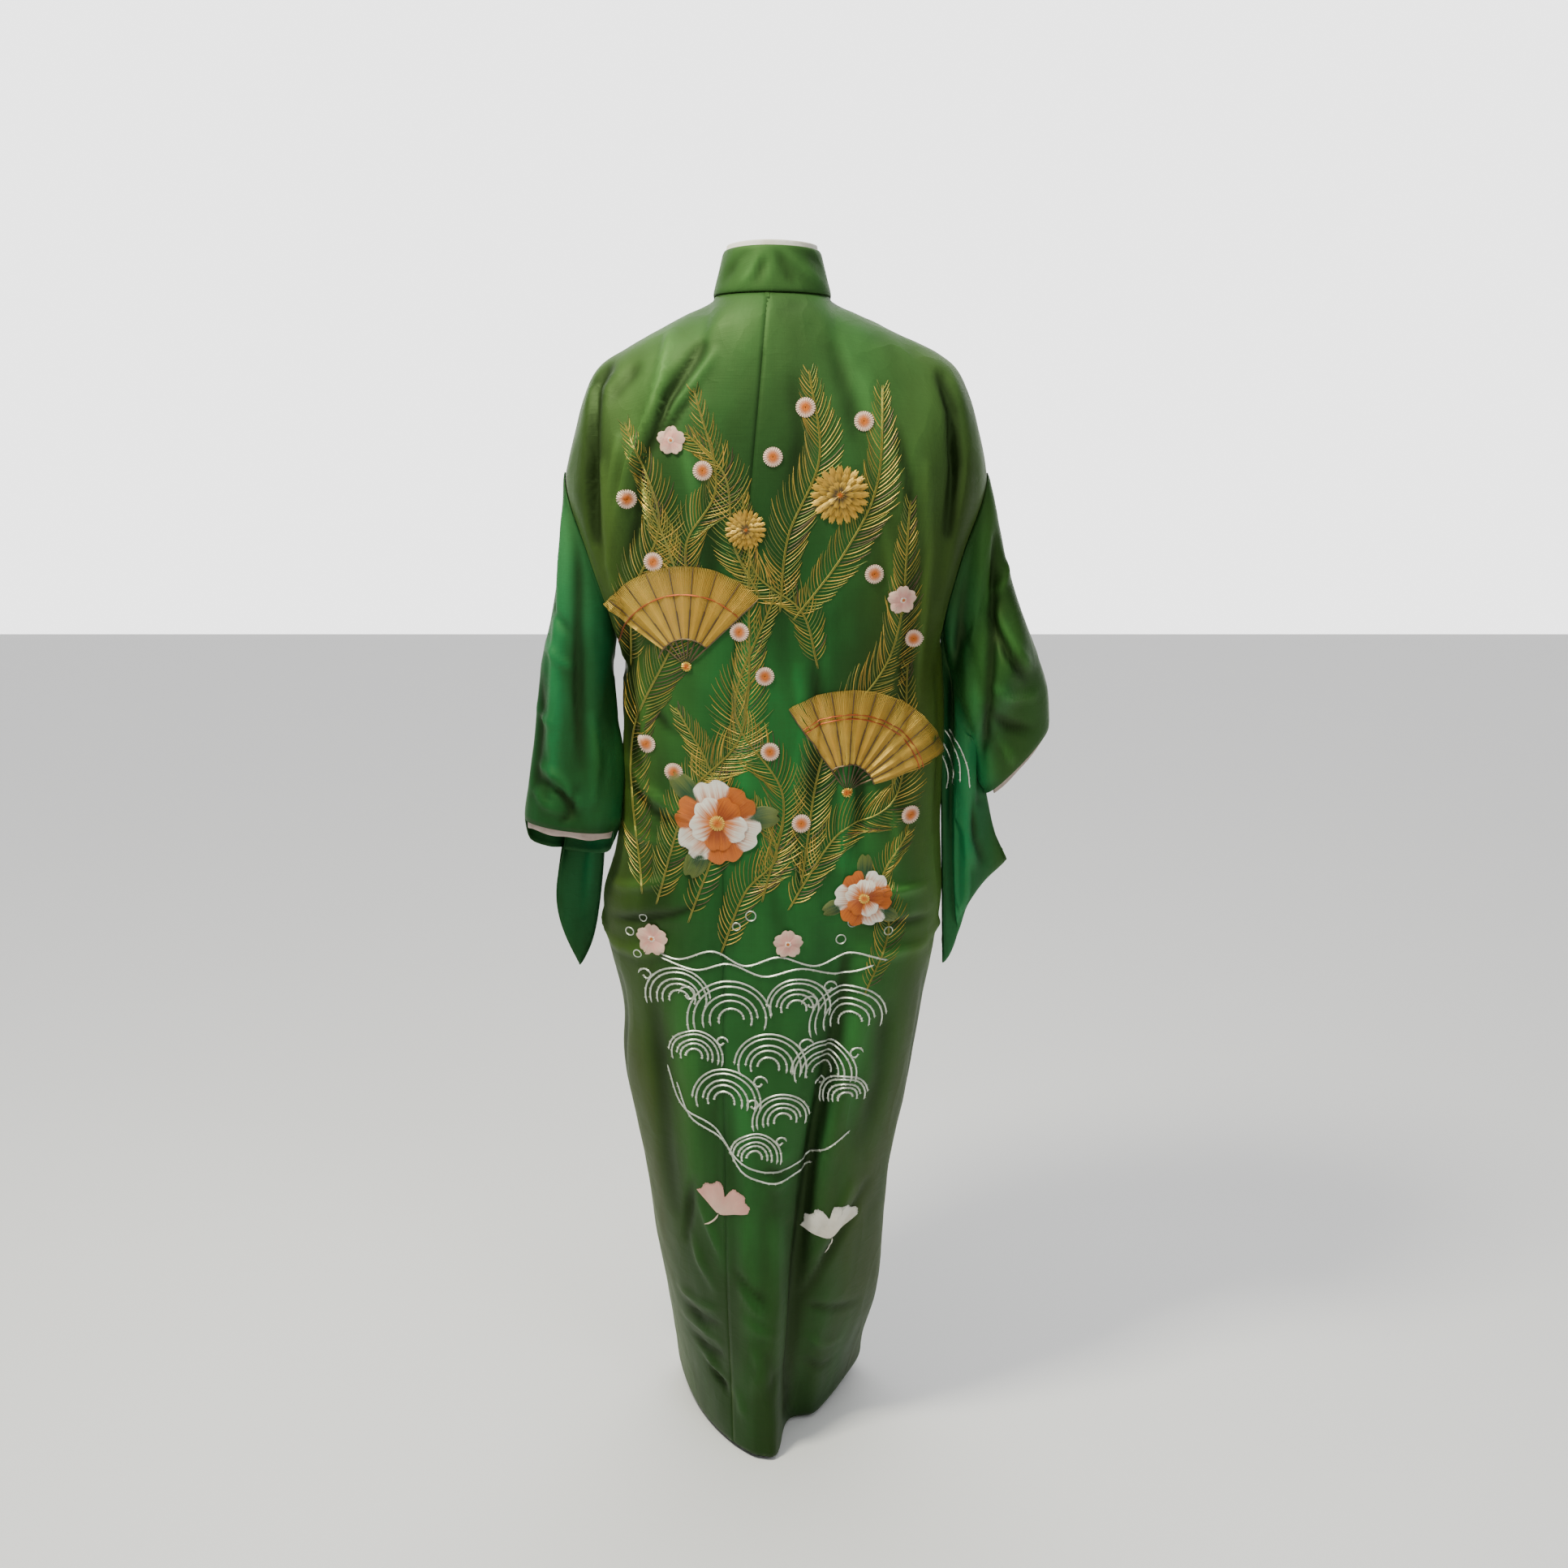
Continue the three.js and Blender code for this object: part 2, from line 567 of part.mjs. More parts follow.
function frontRows(cloth, side, back) {
  const rows = [];
  const put = (x, z) => {
    const place = frontPoint(side, x, z);
    return cloth.point(place.x, place.y, place.z);
  };
  LOWER_ROWS.forEach((height, i) => {
    const start = angleOf(innerEdge(side, height), height);
    const row = [];
    for (let j = 0; j < SHOULDER_COLUMNS; j += 1) {
      const angle = mix(start, (side * Math.PI) / 2, j / SHOULDER_COLUMNS);
      row.push(put(acrossAt(angle, height), height));
    }
    row.push(back[i][NECK_COLUMNS + SHOULDER_COLUMNS]);
    rows.push(row);
  });
  const shareAt = (place, start, end) => (place - start) / (end - start);
  const lowInner = innerEdge(side, ARMPIT_HEIGHT);
  const lowOuter = armholeAcross(side, ARMPIT_HEIGHT);
  const lowStart = angleOf(lowInner, ARMPIT_HEIGHT);
  UPPER_ROWS.forEach((share, k) => {
    const i = LOWER_ROWS.length + k;
    if (share === 1) {
      rows.push(back[i].slice(NECK_COLUMNS));
      return;
    }
    const edgeHeight = upperHeight(SLEEVE_TOP_HEIGHT, share);
    const outer = armholeAcross(side, edgeHeight);
    const inner = innerEdge(side, upperHeight(NECK_SIDE_HEIGHT, share));
    const row = [];
    for (let j = 0; j <= SHOULDER_COLUMNS; j += 1) {
      const shoulder = shoulderPoint(side, j / SHOULDER_COLUMNS);
      const lowAngle = mix(lowStart, (side * Math.PI) / 2, j / SHOULDER_COLUMNS);
      const low = shareAt(acrossAt(lowAngle, ARMPIT_HEIGHT), lowInner, lowOuter);
      const high = shareAt(shoulder.x, side * neckHalfWidth(side), shoulderPoint(side, 1).x);
      row.push(put(mix(inner, outer, mix(low, high, share)), upperHeight(shoulder.z, share)));
    }
    rows.push(row);
  });
  return rows;
}

// One loom width over the shoulder, as two solids that meet along the shoulder's ridge and at the side.
function bodyPanel(side, name) {
  const cloth = new Cloth(WALL);
  const back = backRows(cloth, side);
  const front = frontRows(cloth, side, back);
  cloth.grid(back, side < 0);
  const backCount = cloth.triangles.length;
  cloth.grid(front, side > 0);
  return [
    cloth.mesh(`${name}_back`, SILK, cloth.triangles.slice(0, backCount)),
    cloth.mesh(`${name}_front`, SILK, cloth.triangles.slice(backCount)),
  ];
}

// The overlap panel, from its seam to the collar seam above and to the free edge below.
function okumiPanel(side, name) {
  const cloth = new Cloth(WALL);
  const step = COLLAR_END_STEP;
  const heights = LOWER_ROWS.filter((z) => z < COLLAR_END_HEIGHT - COLLAR_END_CLEAR);
  heights.push(COLLAR_END_HEIGHT - step - 1, COLLAR_END_HEIGHT - 1);
  heights.push(...LOWER_ROWS.filter((z) => z > COLLAR_END_HEIGHT + COLLAR_END_CLEAR));
  heights.push(...OKUMI_UPPER_ROWS);
  const rows = heights.map((z) => {
    const below = z < COLLAR_END_HEIGHT - step;
    const edge = below ? freeEdgeAcross(z) : collarSeamAcross(z) + 2 * HALF_SEAM_GAP;
    const seam = okumiSeamAcross(z) - HALF_SEAM_GAP;
    const row = [];
    for (let j = 0; j <= OKUMI_COLUMNS; j += 1) {
      const share = j / OKUMI_COLUMNS;
      const angle = mix(angleOf(edge * side, z), angleOf(seam * side, z), share);
      const place = frontPoint(side, acrossAt(angle, z), z);
      row.push(cloth.point(place.x, place.y, place.z));
    }
    return row;
  });
  cloth.grid(rows, side > 0);
  return cloth.mesh(name, SILK);
}

// The way that the collar's seam runs up the front, as a step across and a step up.
function seamDirection(z) {
  const across = collarSeamAcross(z + SLOPE_STEP) - collarSeamAcross(z - SLOPE_STEP);
  return new THREE.Vector2(across, 2 * SLOPE_STEP).normalize();
}

// Direction across the collar at a place on its seam: standing at the neck, lying on the chest.
function collarEdge(side, seamX, seam, z) {
  const lying = smoothStep(COLLAR_STANDS_HEIGHT, COLLAR_LIES_HEIGHT, z);
  const lean = new THREE.Vector3(-side * COLLAR_SIDE_LEAN, -COLLAR_FRONT_LEAN, 1).normalize();
  const standing = seam.clone().addScaledVector(lean, COLLAR_WIDTH);
  const along = seamDirection(z);
  return (share) => {
    const upright = seam.clone().lerp(standing, share);
    const reach = COLLAR_WIDTH * share;
    const x = seamX - side * along.y * reach;
    const flatZ = z + along.x * reach * (z > COLLAR_END_HEIGHT ? 1 : 0);
    const flat = frontPoint(side, x, flatZ);
    return upright.lerp(flat, lying);
  };
}

// The free edge of the left front, collar included, as a place across by height.
const freeEdgeRows = [];
for (const row of FREE_EDGE) freeEdgeRows.push({ height: row.height, across: row.across });
for (const row of COLLAR_SEAM) {
  if (row.height <= COLLAR_END_HEIGHT || row.height >= EDGE_TOP[0].height) continue;
  const along = seamDirection(row.height);
  const height = row.height + along.x * COLLAR_WIDTH;
  freeEdgeRows.push({ height, across: row.across - along.y * COLLAR_WIDTH });
}
freeEdgeRows.push(...EDGE_TOP);
const leftFreeEdge = curveThrough(freeEdgeRows, 'height', 'across');

// The stations of the collar, from the left front's collar end round the neck to the right one's.
function collarStations() {
  const upper = UPPER_ROWS.map((share) => upperHeight(NECK_SIDE_HEIGHT, share));
  const heights = [
    COLLAR_END_HEIGHT,
    ...LOWER_ROWS.filter((z) => z > COLLAR_END_HEIGHT + COLLAR_END_CLEAR),
    ...OKUMI_UPPER_ROWS,
    ...upper.filter((z) => z > OKUMI_TIP_HEIGHT && z < NECK_SIDE_HEIGHT),
  ];
  const chest = (side) => heights.map((z) => {
    const x = collarSeam(side, z) - side * COLLAR_SEAM_GAP;
    const seam = frontPoint(side, x, z);
    return { seam, edge: collarEdge(side, x, seam, z) };
  });
  const neck = [];
  const steps = 2 * NECK_COLUMNS;
  for (let i = 0; i <= steps; i += 1) {
    const angle = Math.PI / 2 - (Math.PI * i) / steps;
    const up = new THREE.Vector3(
      -COLLAR_SIDE_LEAN * Math.sin(angle),
      -mix(COLLAR_FRONT_LEAN, COLLAR_BACK_LEAN, Math.cos(angle)),
      1,
    ).normalize();
    const seam = new THREE.Vector3(
      neckHalfWidth(angle) * Math.sin(angle),
      NECK_BACK_DEPTH * Math.cos(angle),
      mix(NECK_BACK_HEIGHT, NECK_SIDE_HEIGHT, 1 - Math.cos(angle)) + 2 * HALF_SEAM_GAP,
    );
    neck.push({ seam, edge: (share) => seam.clone().addScaledVector(up, COLLAR_WIDTH * share) });
  }
  return [...chest(1), ...neck, ...chest(-1).reverse()];
}

function collarCloth() {
  const cloth = new Cloth(COLLAR_WALL);
  const rows = collarStations().map((station) => {
    const row = [];
    for (let j = 0; j <= COLLAR_COLUMNS; j += 1) {
      const place = station.edge(j / COLLAR_COLUMNS);
      row.push(cloth.point(place.x, place.y, place.z));
    }
    return row;
  });
  cloth.grid(rows, true);
  return { cloth, rows };
}

// The pale lining stands a little above the collar's top edge, inside it, round the back of the neck.
function collarLining(name) {
  const { cloth, rows } = collarCloth();
  const normals = cloth.normals();
  const lining = new Cloth(LINING_WALL);
  const inset = COLLAR_WALL + LINING_INSET;
  const inside = (index) => cloth.points[index].clone().addScaledVector(normals[index], -inset);
  const ends = (rows.length - 1) / 2 - NECK_COLUMNS - 1;
  const grid = rows.slice(ends, rows.length - ends).map((row) => {
    const low = inside(row[COLLAR_COLUMNS - 1]);
    const high = inside(row[COLLAR_COLUMNS]);
    const up = high.clone().sub(low).normalize();
    const top = high.clone().addScaledVector(up, COLLAR_LINING_SHOWS);
    return [low, high, top].map((place) => lining.point(place.x, place.y, place.z));
  });
  lining.grid(grid, true);
  return lining.mesh(name, PALE_LINING);
}

// The armhole edge of a body panel, from the shoulder to the armpit, on the back (1) or front (-1).
function armholePoint(side, face, share) {
  const z = upperHeight(SLEEVE_TOP_HEIGHT, share);
  const x = armholeAcross(side, z);
  if (share === 1) return new THREE.Vector3(x, 0, z);
  if (face < 0) return frontPoint(1, x, z);
  return new THREE.Vector3(x, backFall(x, z) * roundCap((SLEEVE_TOP_HEIGHT - z) / SHOULDER_ROUND), z);
}

// One ring of a sleeve: down the back from the top fold to the inner side, round to the pouch,
// down and up its two layers, and up the front to the top fold again.
function sleeveRing(sleeve, at) {
  const { side, pouchAt, innerSteps, pouchHalf } = sleeve;
  const shape = sleeve.curves;
  const s = (column) => shape[column](at);
  const arc = UPPER_ROWS.length;
  const grow = smoothStep(0, SLEEVE_GROWS, at);
  const chord = (turn) => {
    const share = (1 - Math.cos(Math.PI * turn)) / 2;
    return { x: mix(s('topX'), s('inX'), share), z: mix(s('topZ'), s('inZ'), share) };
  };
  const around = (turn, face) => {
    const { x, z } = chord(turn);
    const bulge = Math.sin(Math.PI * Math.min(1, turn)) ** SLEEVE_ROUND;
    const depth = face > 0 ? s('back') : s('front');
    const open = pouchAt === 1 ? pouchHalf * smoothStep(0.5, 1, turn) : 0;
    const y = s('mid') + face * (depth * bulge + open);
    const sag = face < 0 ? s('drop') * Math.max(0, Math.sin(Math.PI * turn)) ** SAG_ROUND : 0;
    return new THREE.Vector3(x, y, z - sag);
  };
  const shares = [...UPPER_ROWS].reverse().concat(0);
  const seamed = (turn, face) => {
    const step = Math.min(arc, Math.max(0, turn * arc));
    const low = Math.min(arc - 1, Math.floor(step));
    const edge = armholePoint(side, face, mix(shares[low], shares[low + 1], step - low));
    edge.x += side * (SLEEVE_SEAM_OUT + SLEEVE_ARMPIT_OUT * smoothStep(0.75, 1, turn));
    if (turn > ROOT_TURN) edge.y = face * (pouchAt === 1 ? WIDE_ROOT : NARROW_ROOT);
    return edge;
  };
  const place = (turn, face) => seamed(turn, face).lerp(around(turn, face), grow);
  const ring = [];
  for (let k = 0; k <= arc; k += 1) {
    if (k === arc && innerSteps > 0) {
      const bottom = place(1, 1);
      bottom.y = mix(0, s('mid'), grow);
      ring.push(bottom);
    } else {
      ring.push(place(k / arc, 1));
    }
  }
  for (let k = 1; k <= innerSteps; k += 1) {
    ring.push(place(mix(1, pouchAt, k / innerSteps), -1));
  }
  const root = ring[ring.length - 1].clone();
  const tip = new THREE.Vector3(s('tipX'), 0, s('tipZ'));
  const rootY = pouchAt === 1 ? mix(0, s('mid'), grow) : root.y - pouchHalf;
  const half = pouchAt === 1 ? mix(WIDE_ROOT, pouchHalf, grow) : pouchHalf;
  const layer = (k, face) => {
    const share = k / POUCH_STEPS;
    const bow = side * s('bow') * Math.sin(Math.PI * share);
    return new THREE.Vector3(
      mix(root.x, tip.x, share) + bow,
      mix(rootY, rootY * POUCH_NARROWS, share) + face * mix(half, pouchHalf * POUCH_NARROWS, share),
      mix(root.z, tip.z, share),
    );
  };
  for (let k = 1; k <= POUCH_STEPS; k += 1) ring.push(layer(k, 1));
  const lowest = layer(POUCH_STEPS, 0);
  lowest.z -= POUCH_BOTTOM;
  ring.push(lowest);
  for (let k = POUCH_STEPS; k >= 1; k -= 1) ring.push(layer(k, -1));
  if (pouchAt === 1) {
    for (let k = arc; k >= 1; k -= 1) ring.push(place(k / arc, -1));
  } else {
    ring.push(layer(0, -1));
    const steps = arc - innerSteps - 1;
    for (let k = 1; k <= steps; k += 1) ring.push(place(mix(pouchAt, 0, k / (steps + 1)), -1));
  }
  return ring;
}

function sleeveCloth(spec) {
  const cloth = new Cloth(WALL);
  const rows = [];
  for (let i = 0; i <= SLEEVE_RINGS; i += 1) {
    const ring = sleeveRing(spec, i / SLEEVE_RINGS).map((p) => cloth.point(p.x, p.y, p.z));
    ring.push(ring[0]);
    rows.push(ring);
  }
  cloth.grid(rows, spec.side > 0);
  return { cloth, rows };
}

// The lining of a cuff lies inside the back of the sleeve's last ring and shows a little below it.
function cuffLining(spec, shows, name) {
  const { cloth, rows } = sleeveCloth(spec);
  const normals = cloth.normals();
  const lining = new Cloth(LINING_WALL);
  const inset = WALL + LINING_INSET;
  const inside = (index) => cloth.points[index].clone().addScaledVector(normals[index], -inset);
  const last = UPPER_ROWS.length - (spec.pouchAt === 1 ? 2 : 0);
  const grid = [[], [], []];
  for (let k = 1; k <= last; k += 1) {
    const high = inside(rows[SLEEVE_RINGS - 1][k]);
    const low = inside(rows[SLEEVE_RINGS][k]);
    const down = low.clone().sub(high).normalize();
    const wave = 1 - LINING_WAVE + LINING_WAVE * Math.sin(k * LINING_WAVE_TURN);
    const hem = low.clone().addScaledVector(down, shows * wave);
    [high, low, hem].forEach((place, i) => grid[i].push(lining.point(place.x, place.y, place.z)));
  }
  lining.grid(grid, spec.side > 0);
  return lining.mesh(name, PINK_LINING);
}

for (const spec of [LEFT_SLEEVE, RIGHT_SLEEVE]) {
  spec.curves = { ...columnsOf(spec.lines, 'at'), ...columnsOf(spec.depths, 'at') };
}

const kimono = new THREE.Group();
kimono.add(...bodyPanel(1, 'left'));
kimono.add(...bodyPanel(-1, 'right'));
kimono.add(okumiPanel(1, 'left_okumi'));
kimono.add(okumiPanel(-1, 'right_okumi'));
kimono.add(sleeveCloth(LEFT_SLEEVE).cloth.mesh('left_sleeve', SILK));
kimono.add(sleeveCloth(RIGHT_SLEEVE).cloth.mesh('right_sleeve', SILK));
kimono.add(cuffLining(LEFT_SLEEVE, LEFT_CUFF_LINING_SHOWS, 'left_cuff_lining'));
kimono.add(cuffLining(RIGHT_SLEEVE, RIGHT_CUFF_LINING_SHOWS, 'right_cuff_lining'));
kimono.add(collarCloth().cloth.mesh('collar', COLLAR_SILK));
kimono.add(collarLining('collar_lining'));
kimono.position.z = -NECK_BASE_HEIGHT;

const model = new THREE.Group();
model.add(kimono);

export default model;
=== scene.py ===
import math
import random

import bmesh
import bpy
import numpy as np
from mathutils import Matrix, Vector, noise
from mathutils.bvhtree import BVHTree
from mathutils.kdtree import KDTree


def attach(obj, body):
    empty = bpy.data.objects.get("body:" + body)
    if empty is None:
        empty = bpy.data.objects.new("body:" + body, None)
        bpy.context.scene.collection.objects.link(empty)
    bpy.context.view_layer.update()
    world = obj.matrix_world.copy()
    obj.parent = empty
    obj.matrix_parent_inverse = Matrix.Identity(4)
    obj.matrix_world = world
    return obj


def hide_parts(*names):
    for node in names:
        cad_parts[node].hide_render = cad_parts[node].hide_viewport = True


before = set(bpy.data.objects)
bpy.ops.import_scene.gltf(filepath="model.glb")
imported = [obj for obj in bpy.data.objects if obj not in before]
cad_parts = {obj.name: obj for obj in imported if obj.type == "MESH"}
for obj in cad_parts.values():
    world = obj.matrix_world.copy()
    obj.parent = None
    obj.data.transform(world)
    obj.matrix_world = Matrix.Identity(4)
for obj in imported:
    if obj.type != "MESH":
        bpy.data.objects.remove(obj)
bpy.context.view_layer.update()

# Tables give places in millimetres, across from the middle and in height above the hem.
MM = 0.001
NECK_BASE = 1480
FLOOR = -1.487

# The cloth, in metres: how its sides are told apart, how finely it is divided, its wall and its seams
MERGE = 0.00005
RIM_ANGLE = math.radians(68)
TUBE_RIM_ANGLE = math.radians(45)
LEAST_SIDE = 0.045
TUBE_SLICE = 0.05
SHOULDER_MIDDLE = -0.25
FLAT_QUAD = math.radians(60)
SQUARE_QUAD = math.radians(80)
LONG_EDGE = 0.0070
SHELL = 0.0012
UNDER = SHELL + 0.0012
SEAM_ROLL = 0.0009
SEAM_WIDTH = 0.0030
SEAM_MEETS = 0.0011
CALM_SEAMS = 4
NECK_SEAM = (-0.05, 0.046)
NECK_SEAM_MEETS = 0.0034
RIPPLE = 0.0010
MAP_RADIUS = 0.18

# Its creases: the scale of the depths and widths in the tables, the least half-width in millimetres,
# and the height in metres at which the painted light on a ridge, and the painted shade in a trough, are
# fullest
CREASE_SHARE = 1.9
CREASE_WIDTH = 0.82
LEAST_REACH = 5.4
PAINTED_SHADE_DEPTH = 0.005

# Where the hem steps up at its parting, in millimetres, and how far its lobes are drawn together
PARTING = -16
PARTING_REACH = 34
PARTING_TOP = 130
PARTING_BLEND = 90
PARTING_SHARE = 0.72

# The camera
CAMERA_PLACE = (-0.019, 2.3, 0.020)
CAMERA_PITCH = 14.9
CAMERA_LENS = 42.67
SENSOR = 36


# Shader maths

class Value:
    """A socket that carries a number, with the operators that the finishes use."""

    def __init__(self, finish, socket):
        self.finish = finish
        self.socket = socket

    def _math(self, operation, *inputs, clamp=False):
        node = self.finish.tree.nodes.new("ShaderNodeMath")
        node.operation = operation
        node.use_clamp = clamp
        for place, value in enumerate(inputs):
            self.finish.join(value, node.inputs[place])
        return Value(self.finish, node.outputs[0])

    def __add__(self, other):
        return self._math("ADD", self, other)

    def __radd__(self, other):
        return self._math("ADD", other, self)

    def __sub__(self, other):
        return self._math("SUBTRACT", self, other)

    def __rsub__(self, other):
        return self._math("SUBTRACT", other, self)

    def __mul__(self, other):
        return self._math("MULTIPLY", self, other)

    def __rmul__(self, other):
        return self._math("MULTIPLY", other, self)

    def __abs__(self):
        return self._math("ABSOLUTE", self)

    def clamped(self):
        return self._math("ADD", self, 0.0, clamp=True)

    def between(self, low, high):
        """0 below low, 1 above high, and smooth in between."""
        smooth = {"interpolation_type": "SMOOTHSTEP"}
        return self.finish.value("ShaderNodeMapRange", smooth, Value=self, From_Min=low, From_Max=high)


class Finish:
    """A material under construction, with its shader."""

    def __init__(self, name):
        self.material = bpy.data.materials.new(name)
        self.material.use_nodes = True
        self.tree = self.material.node_tree
        self.shader = self.tree.nodes["Principled BSDF"]

    def join(self, value, socket):
        if isinstance(value, Value):
            value = value.socket
        if isinstance(value, bpy.types.NodeSocket):
            self.tree.links.new(value, socket)
        else:
            socket.default_value = value

    def node(self, kind, settings=None, output=0, **inputs):
        """A new node, by its type, its settings, and the values or links of its sockets."""
        made = self.tree.nodes.new(kind)
        for name, value in (settings or {}).items():
            setattr(made, name, value)
        for name, value in inputs.items():
            self.join(value, made.inputs[name.replace("_", " ")])
        return made.outputs[output]

    def value(self, *args, **inputs):
        return Value(self, self.node(*args, **inputs))

    def coordinates(self, kind="Object"):
        return self.node("ShaderNodeTexCoord", output=kind)

    def place(self, axis):
        """How far along an axis a point lies."""
        return self.value("ShaderNodeSeparateXYZ", output=axis, Vector=self.coordinates())

    def scaled(self, vector, scale):
        return self.node("ShaderNodeMapping", Vector=vector, Scale=scale)

    def noise(self, scale, detail=3.0, vector=None):
        vector = vector or self.coordinates()
        return self.value("ShaderNodeTexNoise", Vector=vector, Scale=scale, Detail=detail)

    def threads(self, across, along):
        """Streaks on the piece's own map, so many to a metre each way."""
        return self.noise(1.0, 2.0, self.scaled(self.coordinates("UV"), (across, along, 1.0)))

    def blend(self, factor, first, second):
        node = self.tree.nodes.new("ShaderNodeMix")
        node.data_type = "RGBA"
        self.join(factor, node.inputs["Factor"])
        self.join(first, node.inputs[6])
        self.join(second, node.inputs[7])
        return node.outputs[2]

    def set(self, **sockets):
        for name, value in sockets.items():
            self.join(value, self.shader.inputs[name.replace("_", " ")])

    def toned(self, colour, tone):
        """The colour made darker or lighter by a number."""
        return self.node("ShaderNodeVectorMath", {"operation": "SCALE"}, Vector=colour, Scale=tone)

    def bump(self, height, strength, distance):
        self.set(Normal=self.node("ShaderNodeBump", Strength=strength, Distance=distance, Height=height))


# The greens of the silk. OLIVE and SLEEVE_OLIVE are painted shade at the sides and the hem, and the last
# green is a painted light on the shoulders and upper back.
DEEP = (0.003, 0.036, 0.008, 1)
BRIGHT = (0.009, 0.105, 0.023, 1)
TEAL = (0.006, 0.098, 0.034, 1)
OLIVE = (0.033, 0.042, 0.004, 1)
SLEEVE_OLIVE = (0.020, 0.055, 0.007, 1)
PAINTED_TOP_LIGHT = (0.048, 0.105, 0.028, 1)


def silk(name, deep, bright, olive, side_shade, side_shade_span=(0.06, 0.20)):
    """Glossy green silk: deep and bright in soft upright clouds, with fine streaks along both threads of
    the weave and a net of small wrinkles. A painted shade turns it olive towards the sides, between two
    distances from the middle, and darker and olive towards the hem. A painted light makes it paler on
    the shoulders, and its creases carry painted shade in the troughs and painted light on the ridges."""
    cloth = Finish(name)
    x = cloth.place("X")
    z = cloth.place("Z")
    upright = cloth.scaled(cloth.coordinates(), (1.0, 1.0, 0.35))
    drift = cloth.noise(7.0, 3.0, upright)
    patches = cloth.noise(22.0, 4.0, upright)
    weft = cloth.threads(14.0, 620.0)
    warp = cloth.threads(900.0, 9.0)
    wrinkles = 1.0 - (abs(cloth.noise(13.0, 1.5, upright) - 0.5) * 9.0).clamped()
    puckers = 1.0 - (abs(cloth.noise(34.0, 1.5) - 0.5) * 7.0).clamped()
    # Painted shade: the silk turns olive towards the sides, and darker and olive towards the hem, among
    # random olive patches.
    side = abs(x + (drift - 0.5) * 0.16).between(*side_shade_span)
    low = (0.0 - z + (drift - 0.5) * 0.5).between(0.75, 1.45)
    colour = cloth.blend((drift * 0.7 + patches * 0.3).between(0.40, 0.62), deep, bright)
    painted_shade_and_patches = (side * side_shade + low * (0.25 + side * 0.5) + (patches - 0.5) * 0.3).clamped()
    colour = cloth.blend(painted_shade_and_patches, colour, olive)
    # Painted light: paler green towards the top, on the shoulders and upper back, where the light from
    # above falls.
    high = (z + (drift - 0.5) * 0.3).between(-0.42, 0.02)
    colour = cloth.blend(high * 0.62, colour, PAINTED_TOP_LIGHT)
    # Painted shade and light from the creases: the silk is darker in their troughs and lighter on their
    # ridges.
    crease = cloth.value("ShaderNodeAttribute", {"attribute_name": "crease"}, output="Fac")
    painted_crease_light_and_shade = 0.24 + (crease * 0.5 + 0.5).between(0.0, 1.0) * 1.48
    # The tone darkens the silk towards the hem as painted shade, and takes in the painted light and shade
    # of the creases.
    tone = (0.72 + weft * 0.26 + warp * 0.18) * (1.0 - low * 0.50) * (1.0 + wrinkles * 0.08) * painted_crease_light_and_shade
    cloth.set(
        Base_Color=cloth.toned(colour, tone),
        Roughness=0.44 + patches * 0.16 + weft * 0.14,
        Sheen_Weight=0.04,
        Sheen_Roughness=0.35,
        Sheen_Tint=(0.55, 0.9, 0.25, 1.0),
        Specular_Tint=(0.50, 0.85, 0.30, 1.0),
        IOR=1.5,
    )
    height = weft * 0.12 + warp * 0.12 + wrinkles * wrinkles * 0.5 + puckers * puckers * 0.12
    cloth.bump(height, 0.5, 0.0020)
    return cloth.material


def lining_silk(name, clean, soiled):
    """Matt lining silk with a plain weave, a little soiled in patches."""
    cloth = Finish(name)
    patches = cloth.noise(40.0, 3.0)
    weft = cloth.threads(60.0, 1500.0)
    warp = cloth.threads(1500.0, 60.0)
    cloth.set(
        Base_Color=cloth.toned(cloth.blend(patches.between(0.4, 0.7), clean, soiled), 0.9 + weft * 0.2),
        Roughness=0.62 + warp * 0.2,
        Sheen_Weight=0.2,
    )
    cloth.bump(weft + warp, 0.3, 0.0006)
    return cloth.material


def thread(name, metal, gloss):
    """Silk floss or couched metal thread: its colour comes with each stitch, and fine strands run
    along it."""
    floss = Finish(name)
    dyed = floss.node("ShaderNodeAttribute", {"attribute_name": "dye"})
    strands = floss.threads(3.0, 30.0)
    uneven = floss.noise(90.0, 3.0)
    floss.set(
        Base_Color=floss.toned(dyed, 0.62 + strands * 0.5 + uneven * 0.26),
        Roughness=gloss + strands * 0.2,
        Metallic=metal * (0.8 + uneven * 0.3),
        Sheen_Weight=0.15,
    )
    floss.bump(strands, 0.6, 0.0005)
    return floss.material


GREEN_SILK = silk("green silk", DEEP, BRIGHT, OLIVE, 0.72)
LEFT_SLEEVE_SILK = silk("left sleeve silk", DEEP, TEAL, SLEEVE_OLIVE, 0.5, (0.25, 0.36))
RIGHT_SLEEVE_SILK = silk("right sleeve silk", DEEP, TEAL, SLEEVE_OLIVE, 0.8, (0.22, 0.31))
COLLAR_SILK = silk("collar silk", (0.008, 0.062, 0.012, 1), (0.018, 0.11, 0.022, 1), OLIVE, 0.2)
PALE_LINING = lining_silk("pale lining", (0.78, 0.76, 0.68, 1), (0.60, 0.57, 0.46, 1))
PINK_LINING = lining_silk("pinkish lining", (0.50, 0.38, 0.33, 1), (0.36, 0.27, 0.22, 1))


# The creases of the silk. Each lies on a side, and has its half-width, how far it stands out, how much
# steeper its one flank is, and its line as places across (or, on the left and right sides, towards the
# back) and heights.
def on(side, rows):
    return [(side, *row) for row in rows]


